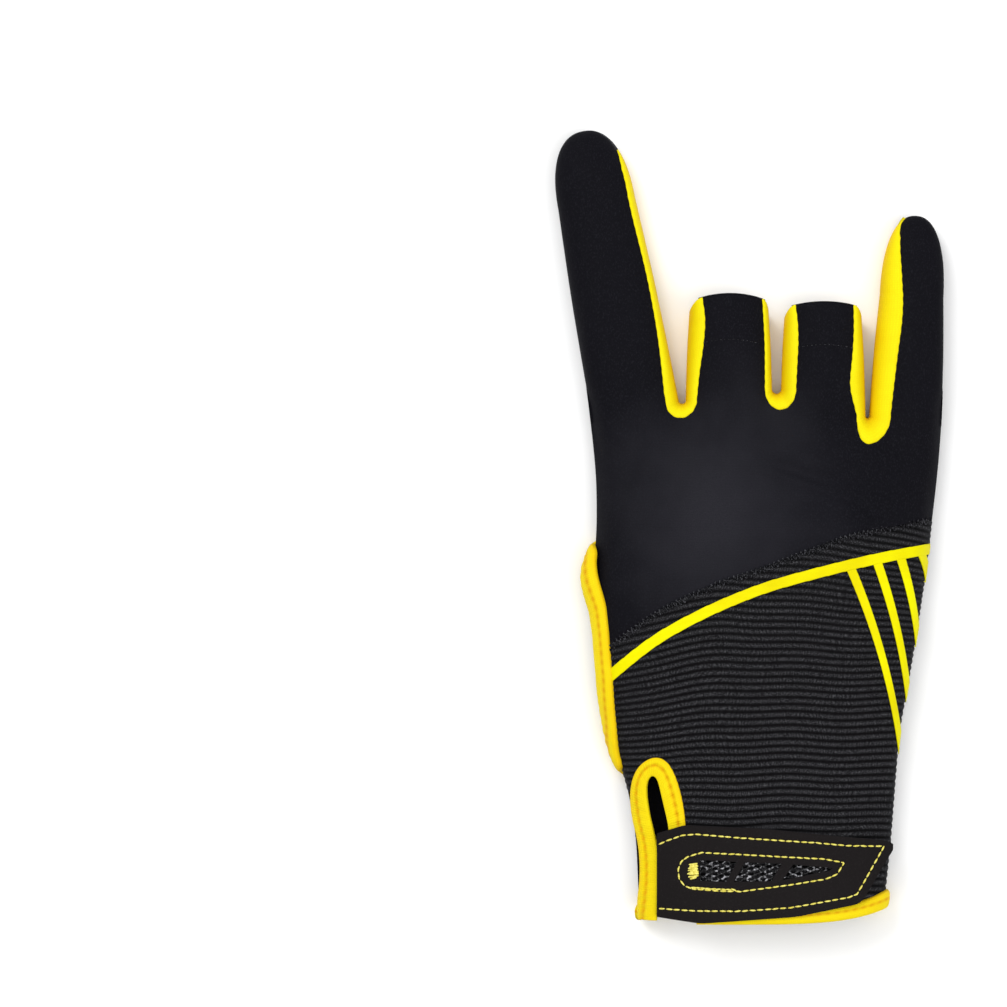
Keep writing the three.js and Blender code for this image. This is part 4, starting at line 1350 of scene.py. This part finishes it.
# Fine weave: two crossed sine waves of the given pitch, bent a little by noise; the product is the height
def makeWeave():
    tree, given, out = newGroup("fine weave", [
        ("Vector", "NodeSocketVector", None), ("Pitch Along", "NodeSocketFloat", 0.5),
        ("Pitch Across", "NodeSocketFloat", 0.5), ("Unevenness", "NodeSocketFloat", 0.5),
    ], [("Height", "NodeSocketFloat"), ("Shade", "NodeSocketFloat")])
    noise = addNode(tree, "ShaderNodeTexNoise", {"Vector": given["Vector"], "Scale": 0.7, "Detail": 3.0})
    bend = mathNode(tree, "SUBTRACT", noise.outputs["Fac"], 0.5)
    bend = mathNode(tree, "MULTIPLY", bend, given["Unevenness"])
    apart = addNode(tree, "ShaderNodeSeparateXYZ", {"Vector": given["Vector"]})
    waves = []
    for axis, pitch in (("X", "Pitch Across"), ("Y", "Pitch Along")):
        place = mathNode(tree, "DIVIDE", mathNode(tree, "ADD", apart.outputs[axis], bend), given[pitch])
        wave = mathNode(tree, "SINE", mathNode(tree, "MULTIPLY", place, 2 * math.pi))
        waves.append(mathNode(tree, "MULTIPLY_ADD", wave, 0.5, 0.5))
    height = mathNode(tree, "MULTIPLY", waves[0], waves[1])
    grain = addNode(tree, "ShaderNodeTexNoise", {"Vector": given["Vector"], "Scale": 4.5, "Detail": 2.0})
    shade = mathNode(tree, "MULTIPLY", height, 0.5)
    shade = mathNode(tree, "MULTIPLY_ADD", grain.outputs["Fac"], 0.6, shade)
    tree.links.new(mathNode(tree, "MULTIPLY_ADD", grain.outputs["Fac"], 0.35, height), out["Height"])
    tree.links.new(shade, out["Shade"])
    return tree


# Specks: noise stretched along one direction, cut off above a threshold; on the cloths they are light fibre
# ends, on the knit and the net they place painted glints
def makeSpecks():
    tree, given, out = newGroup("fibre specks", [
        ("Vector", "NodeSocketVector", None), ("Size", "NodeSocketFloat", 0.5),
        ("Stretch", "NodeSocketFloat", 1.0), ("Threshold", "NodeSocketFloat", 0.62),
    ], [("Mask", "NodeSocketFloat")])
    apart = addNode(tree, "ShaderNodeSeparateXYZ", {"Vector": given["Vector"]})
    along = mathNode(tree, "DIVIDE", apart.outputs["Y"], given["Stretch"])
    place = addNode(tree, "ShaderNodeCombineXYZ",
                    {"X": apart.outputs["X"], "Y": along, "Z": apart.outputs["Z"]})
    scale = mathNode(tree, "DIVIDE", 1.0, given["Size"])
    noise = addNode(tree, "ShaderNodeTexNoise", {"Vector": place.outputs[0], "Scale": scale, "Detail": 2.0,
                                                 "Roughness": 0.65})
    above = mathNode(tree, "SUBTRACT", noise.outputs["Fac"], given["Threshold"])
    mask = addNode(tree, "ShaderNodeMath", operation="MULTIPLY", use_clamp=True)
    tree.links.new(above, mask.inputs[0])
    mask.inputs[1].default_value = 9.0
    tree.links.new(mask.outputs[0], out["Mask"])
    return tree


# Slow change of tone over the piece, with a little handling wear: noise of the given size in millimetres
def makeTone():
    tree, given, out = newGroup("slow tone", [
        ("Vector", "NodeSocketVector", None), ("Size", "NodeSocketFloat", 25.0),
    ], [("Tone", "NodeSocketFloat")])
    scale = mathNode(tree, "DIVIDE", 1.0, given["Size"])
    noise = addNode(tree, "ShaderNodeTexNoise", {"Vector": given["Vector"], "Scale": scale, "Detail": 4.0})
    spread = addNode(tree, "ShaderNodeMapRange",
                     {"Value": noise.outputs["Fac"], "From Min": 0.3, "From Max": 0.7})
    tree.links.new(spread.outputs[0], out["Tone"])
    return tree


# Painted highlight over the knuckles: a soft round patch about a point, painted paler where the light falls
# most, its edge bent by noise
def makePaintedLight():
    tree, given, out = newGroup("stretched middle", [
        ("Vector", "NodeSocketVector", None), ("Middle", "NodeSocketVector", (-12.0, 34.0, 15.0)),
        ("Reach", "NodeSocketFloat", 46.0),
    ], [("Mask", "NodeSocketFloat")])
    noise = addNode(tree, "ShaderNodeTexNoise", {"Vector": given["Vector"], "Scale": 0.035, "Detail": 3.0})
    away = addNode(tree, "ShaderNodeVectorMath", {0: given["Vector"], 1: given["Middle"]},
                   operation="DISTANCE")
    inward = mathNode(tree, "SUBTRACT", away.outputs["Value"], 20.0)
    bent = mathNode(tree, "MULTIPLY_ADD", noise.outputs["Fac"], 40.0, inward)
    share = mathNode(tree, "DIVIDE", bent, given["Reach"])
    fade = addNode(tree, "ShaderNodeMapRange", {"Value": share, "From Min": 1.0, "From Max": 0.0},
                   interpolation_type="SMOOTHSTEP")
    tree.links.new(fade.outputs[0], out["Mask"])
    return tree


weaveGroup, speckGroup, toneGroup, paintedLightGroup = makeWeave(), makeSpecks(), makeTone(), makePaintedLight()


# A cloth material's start: object coordinates in millimetres, or the piece's own map, and the bare shader
def clothStart(name, roughness, specular, ownMap=False, sheen=0.0, sheenTint=(1, 1, 1), sheenRoughness=0.4):
    material = bpy.data.materials.new(name)
    material.use_nodes = True
    tree = material.node_tree
    shader = tree.nodes["Principled BSDF"]
    shader.inputs["Roughness"].default_value = roughness
    shader.inputs["Specular IOR Level"].default_value = specular
    shader.inputs["Sheen Weight"].default_value = sheen
    shader.inputs["Sheen Roughness"].default_value = sheenRoughness
    shader.inputs["Sheen Tint"].default_value = (*sheenTint, 1)
    if ownMap:
        source = addNode(tree, "ShaderNodeUVMap", uv_map="cloth").outputs[0]
        return material, tree, shader, source
    source = addNode(tree, "ShaderNodeTexCoord").outputs["Object"]
    place = addNode(tree, "ShaderNodeMapping", {"Vector": source, "Scale": (1000, 1000, 1000)})
    return material, tree, shader, place.outputs[0]


def addBump(tree, shader, height, strength, distance):
    bump = addNode(tree, "ShaderNodeBump",
                   {"Height": height, "Strength": strength, "Distance": distance * metre})
    tree.links.new(bump.outputs[0], shader.inputs["Normal"])


looks = {
    # The black cloth's paler colour below is a painted highlight over the middle of the back
    "blackCloth": {"dark": (0.0016, 0.0015, 0.0024), "light": (0.0062, 0.0060, 0.0090),
                   "speckAndGlint": (0.0125, 0.0125, 0.0165), "paintedHighlight": (0.0215, 0.0210, 0.0265), "paintedLight": 0.9,
                   "pitch": 0.42, "roughness": 0.7, "specular": 0.04},
    # The knit's light speck colour is painted glints on the rib crests
    "blackKnit": {"dark": (0.0022, 0.0021, 0.0025), "light": (0.0120, 0.0118, 0.0135),
                  "speckAndGlint": (0.118, 0.118, 0.128),
                  "pitch": 0.55, "roughness": 0.75, "specular": 0.04},
    "strapCloth": {"dark": (0.0070, 0.0058, 0.0060), "light": (0.0130, 0.0113, 0.0116),
                   "speckAndGlint": (0.030, 0.027, 0.028),
                   "pitch": 0.33, "roughness": 0.8, "specular": 0.04},
    # The yellows' deep colours are painted shade down the sides
    "yellowCloth": {"lemon": (0.82, 0.74, 0.004), "deep": (0.78, 0.50, 0.0), "pitch": 0.5,
                    "roughness": 0.7, "specular": 0.08},
    "yellowBand": {"lemon": (0.83, 0.69, 0.004), "deep": (0.78, 0.42, 0.0), "pitch": 0.55,
                   "roughness": 0.7, "specular": 0.1},
    # The film's brighter colour, in random patches, is painted sheen
    "film": {"main": (0.66, 0.56, 0.0), "paintedSheen": (0.78, 0.76, 0.0), "roughness": 0.5, "specular": 0.04},
    "thread": {"light": (0.90, 0.84, 0.22), "dark": (0.55, 0.45, 0.03), "roughness": 0.6, "specular": 0.2},
    "darkThread": {"light": (0.060, 0.060, 0.068), "dark": (0.003, 0.003, 0.004), "roughness": 0.75,
                   "specular": 0.08},
    # The net's light grey flecks are painted glints
    "net": {"light": (0.42, 0.42, 0.45), "dark": (0.004, 0.004, 0.005), "roughness": 0.4, "specular": 0.25},
    "grip": {"light": (0.050, 0.050, 0.053), "dark": (0.010, 0.010, 0.011), "roughness": 0.22,
             "specular": 0.6},
}


# Black cloth: a fine weave in tone and bump, pale fibre specks, slow changes of tone and a painted highlight
# over the middle of the back; on the knit, painted shade in the rib valleys and painted glints on the crests
def blackMaterial(name, look, stretch, threshold, bump, ribbed=False):
    material, tree, shader, place = clothStart(name, look["roughness"], look["specular"], sheen=0.015,
                                               sheenTint=(0.8, 0.8, 1.0), sheenRoughness=0.35)
    weave = useGroup(tree, weaveGroup, {"Vector": place, "Pitch Along": look["pitch"],
                                        "Pitch Across": look["pitch"] * 0.8, "Unevenness": 0.7})
    specks = useGroup(tree, speckGroup, {"Vector": place, "Size": 0.3, "Stretch": stretch,
                                         "Threshold": threshold})
    tone = useGroup(tree, toneGroup, {"Vector": place, "Size": 22.0})
    ground = mixColour(tree, weave["Shade"], look["dark"], look["light"])
    toneAndPaintedLight = mixColour(tree, mathNode(tree, "MULTIPLY", tone["Tone"], 0.35), ground, look["light"])
    # Painted highlight: the cloth is painted paler in a soft patch over the middle of the back, where the
    # light falls most
    if "paintedHighlight" in look:
        paintedLight = useGroup(tree, paintedLightGroup, {"Vector": place})["Mask"]
        paintedLightShare = mathNode(tree, "MULTIPLY_ADD", weave["Shade"], 0.8, 0.5)
        paintedLightShare = mathNode(tree, "MULTIPLY", paintedLight, paintedLightShare)
        toneAndPaintedLight = mixColour(tree, mathNode(tree, "MULTIPLY", paintedLightShare, look["paintedLight"]), toneAndPaintedLight, look["paintedHighlight"])
    if ribbed:
        ribs = addNode(tree, "ShaderNodeUVMap", uv_map="ribs").outputs[0]
        apart = addNode(tree, "ShaderNodeSeparateXYZ", {"Vector": ribs})
        # Painted shade: the knit is painted darker in the rib valleys
        ribLitShare = mathNode(tree, "POWER", apart.outputs["Y"], 1.6)
        toneAndPaintedLight = mixColour(tree, ribLitShare, tuple(v * 0.4 for v in look["dark"]), toneAndPaintedLight)
        # Painted glints: on the knit the light specks are kept to the rib crests, in bands along each rib
        bend = mathNode(tree, "MULTIPLY_ADD", tone["Tone"], 9.0, apart.outputs["X"])
        loops = mathNode(tree, "SINE", mathNode(tree, "MULTIPLY", bend, 2 * math.pi / 0.85))
        loops = mathNode(tree, "MULTIPLY_ADD", loops, 0.3, 0.6)
        crestGlintShare = mathNode(tree, "POWER", apart.outputs["Y"], 3.0)
        mask = mathNode(tree, "MULTIPLY", mathNode(tree, "MULTIPLY", specks["Mask"], loops), crestGlintShare)
    else:
        mask = specks["Mask"]
    colour = mixColour(tree, mathNode(tree, "MULTIPLY", mask, 0.6), toneAndPaintedLight, look["speckAndGlint"])
    tree.links.new(colour, shader.inputs["Base Color"])
    rough = mathNode(tree, "MULTIPLY_ADD", tone["Tone"], 0.1, look["roughness"] - 0.05)
    tree.links.new(rough, shader.inputs["Roughness"])
    addBump(tree, shader, weave["Height"], 0.5, bump)
    return material


# Yellow cloth: lemon on the back and painted shade that deepens it down the sides, with a fine weave; its map
# gives the place on it
def yellowMaterial(name, look, across, sideShade, bump, ribs, groove=None):
    material, tree, shader, place = clothStart(name, look["roughness"], look["specular"], ownMap=True,
                                               sheen=0.03, sheenTint=(1.0, 0.85, 0.3))
    weave = useGroup(tree, weaveGroup, {"Vector": place, "Pitch Along": look["pitch"] * ribs,
                                        "Pitch Across": look["pitch"], "Unevenness": 0.35})
    tone = useGroup(tree, toneGroup, {"Vector": place, "Size": 6.0})
    level = addNode(tree, "ShaderNodeSeparateXYZ", {"Vector": place}).outputs["Y"]
    # Painted shade: the yellow is painted deeper past a place across its map, down the sides of the strips
    # and towards one edge of the bands
    sideShadeRamp = addNode(tree, "ShaderNodeMapRange",
                   {"Value": level, "From Min": across[0], "From Max": across[1]},
                   interpolation_type="SMOOTHSTEP")
    sideShadeShare = mathNode(tree, "MULTIPLY", sideShadeRamp.outputs[0], sideShade)
    share = mathNode(tree, "MULTIPLY_ADD", tone["Tone"], 0.22, sideShadeShare)
    colour = mixColour(tree, share, look["lemon"], look["deep"])
    shade = mathNode(tree, "MULTIPLY_ADD", weave["Shade"], -0.35, 0.30)
    colour = mixColour(tree, shade, colour, tuple(v * 0.62 for v in look["deep"]))
    if groove is not None:
        # Painted shade: a reddish darker line along the stitched groove, stronger at each stitch
        away = mathNode(tree, "DIVIDE", mathNode(tree, "SUBTRACT", level, groove), 0.38)
        square = mathNode(tree, "MULTIPLY", away, away)
        near = mathNode(tree, "EXPONENT", mathNode(tree, "MULTIPLY", square, -1.0))
        run = addNode(tree, "ShaderNodeSeparateXYZ", {"Vector": place}).outputs["X"]
        wave = mathNode(tree, "SINE", mathNode(tree, "MULTIPLY", run, 2 * math.pi / binding["stitchPitch"]))
        grooveShade = mathNode(tree, "MULTIPLY", near, mathNode(tree, "MULTIPLY_ADD", wave, 0.2, 0.65))
        colour = mixColour(tree, grooveShade, colour, (0.62, 0.27, 0.0))
    tree.links.new(colour, shader.inputs["Base Color"])
    addBump(tree, shader, weave["Height"], 0.6, bump)
    return material


# Plain finishes that change between two colours by a noise of the given size, with a bump of the same noise
def mottledMaterial(name, look, size, bump, threshold=None, light="light", dark="dark"):
    material, tree, shader, place = clothStart(name, look["roughness"], look["specular"])
    if threshold is None:
        share = useGroup(tree, toneGroup, {"Vector": place, "Size": size})["Tone"]
    else:
        share = useGroup(tree, speckGroup, {"Vector": place, "Size": size, "Threshold": threshold})["Mask"]
    tree.links.new(mixColour(tree, share, look[dark], look[light]), shader.inputs["Base Color"])
    rough = mathNode(tree, "MULTIPLY_ADD", share, 0.12, look["roughness"] - 0.06)
    tree.links.new(rough, shader.inputs["Roughness"])
    addBump(tree, shader, share, 0.4, bump)
    return material


blackCloth = blackMaterial("black_cloth", looks["blackCloth"], 2.2, 0.54, 0.035)
blackKnit = blackMaterial("black_knit", looks["blackKnit"], 0.8, 0.46, 0.09, ribbed=True)
strapCloth = blackMaterial("strap_cloth", looks["strapCloth"], 1.0, 0.60, 0.03)
yellowCloth = yellowMaterial("yellow_cloth", looks["yellowCloth"], (1.5, 6.0), 0.85, 0.05, 1.0)
yellowBand = yellowMaterial("yellow_band", looks["yellowBand"], (1.0, 2.3), 0.45, 0.09, 0.8,
                            groove=binding["groovePlace"] * binding["width"] / 2)
# The film's brighter patches are painted sheen
filmFinish = mottledMaterial("yellow_film", looks["film"], 18.0, 0.02, light="paintedSheen", dark="main")
yellowThread = mottledMaterial("yellow_thread", looks["thread"], 0.5, 0.05)
darkThread = mottledMaterial("dark_thread", looks["darkThread"], 0.4, 0.04, threshold=0.5)
# The net's light flecks are painted glints
netThread = mottledMaterial("net_thread", looks["net"], 1.1, 0.03, threshold=0.52)
gripRubber = mottledMaterial("grip_rubber", looks["grip"], 5.0, 0.02)

finish = [
    (backPanel, "back_panel", "black_fabric", blackCloth),
    (palmPanel, "palm_panel", "black_fabric", blackCloth),
    (ribPanel, "rib_panel", "black_knit", blackKnit),
    (thumbBinding, "thumb_binding", "yellow_binding", yellowBand),
    (slitBinding, "slit_binding", "yellow_binding", yellowBand),
    (cuffBinding, "cuff_binding", "yellow_binding", yellowBand),
    (strapPiece, "strap", "strap_fabric", strapCloth),
    (strapStitches, None, "yellow_binding", yellowThread),
    (strapTack, None, "yellow_binding", yellowThread),
    (strapNet, "strap_mesh", "strap_net", netThread),
    (filmPiece, "stripe_film", "yellow_film", filmFinish),
    (seamPiece, None, "black_fabric", darkThread),
    (hemPiece, None, "black_fabric", darkThread),
    (gripPiece, None, "black_fabric", gripRubber),
]
for name, piece in yellowSides.items():
    finish.append((piece, name + "_fourchette", "yellow_fabric", yellowCloth))
for piece, node, slotName, material in finish:
    piece.data.materials.clear()
    piece.data.materials.append(material)
    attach(piece, "root")
    if node:
        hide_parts(node)
print("pieces dressed", len(finish))


# Camera straight above, floor and soft light
view = {
    "across": -74.5,         # middle of the picture in millimetres
    "along": 33.2,
    "width": 287.0,          # how much the picture spans at the glove's upper side
    "level": 12.0,
    "height": 1850.0,
    "sensor": 36.0,
}
cameraData = bpy.data.cameras.new("camera")
cameraData.sensor_width = view["sensor"]
cameraData.lens = view["sensor"] * (view["height"] - view["level"]) / view["width"]
cameraData.clip_end = 20
camera = bpy.data.objects.new("camera", cameraData)
camera.location = (view["across"] * metre, view["along"] * metre, view["height"] * metre)
bpy.context.scene.collection.objects.link(camera)
bpy.context.scene.camera = camera

lights = {
    "key": {"place": (-0.75, 0.85, 1.25), "size": 1.0, "watts": 15.0},
    "fill": {"place": (0.95, -0.35, 1.05), "size": 1.3, "watts": 8.0},
    "top": {"place": (0.0, 0.0, 1.9), "size": 1.6, "watts": 13.0},
}
for name, row in lights.items():
    data = bpy.data.lights.new(name, "AREA")
    data.shape = "DISK"
    data.size = row["size"]
    data.energy = row["watts"]
    lamp = bpy.data.objects.new(name, data)
    lamp.location = row["place"]
    lamp.rotation_euler = (-Vector(row["place"])).to_track_quat("-Z", "Y").to_euler()
    bpy.context.scene.collection.objects.link(lamp)

world = bpy.data.worlds.new("studio")
world.use_nodes = True
world.node_tree.nodes["Background"].inputs["Color"].default_value = (1, 1, 1, 1)
world.node_tree.nodes["Background"].inputs["Strength"].default_value = 0.5
bpy.context.scene.world = world
bpy.context.scene.view_settings.view_transform = "Standard"
bpy.context.scene.view_settings.look = "None"

floorMesh = bpy.data.meshes.new("floor")
floorMesh.from_pydata([(-4, -4, 0), (4, -4, 0), (4, 4, 0), (-4, 4, 0)], [], [(0, 1, 2, 3)])
floor = bpy.data.objects.new("floor", floorMesh)
bpy.context.scene.collection.objects.link(floor)
floorPaint = bpy.data.materials.new("floor_paint")
floorPaint.use_nodes = True
floorShader = floorPaint.node_tree.nodes["Principled BSDF"]
floorShader.inputs["Base Color"].default_value = (0.93, 0.93, 0.93, 1)
floorShader.inputs["Roughness"].default_value = 0.85
floorMesh.materials.append(floorPaint)
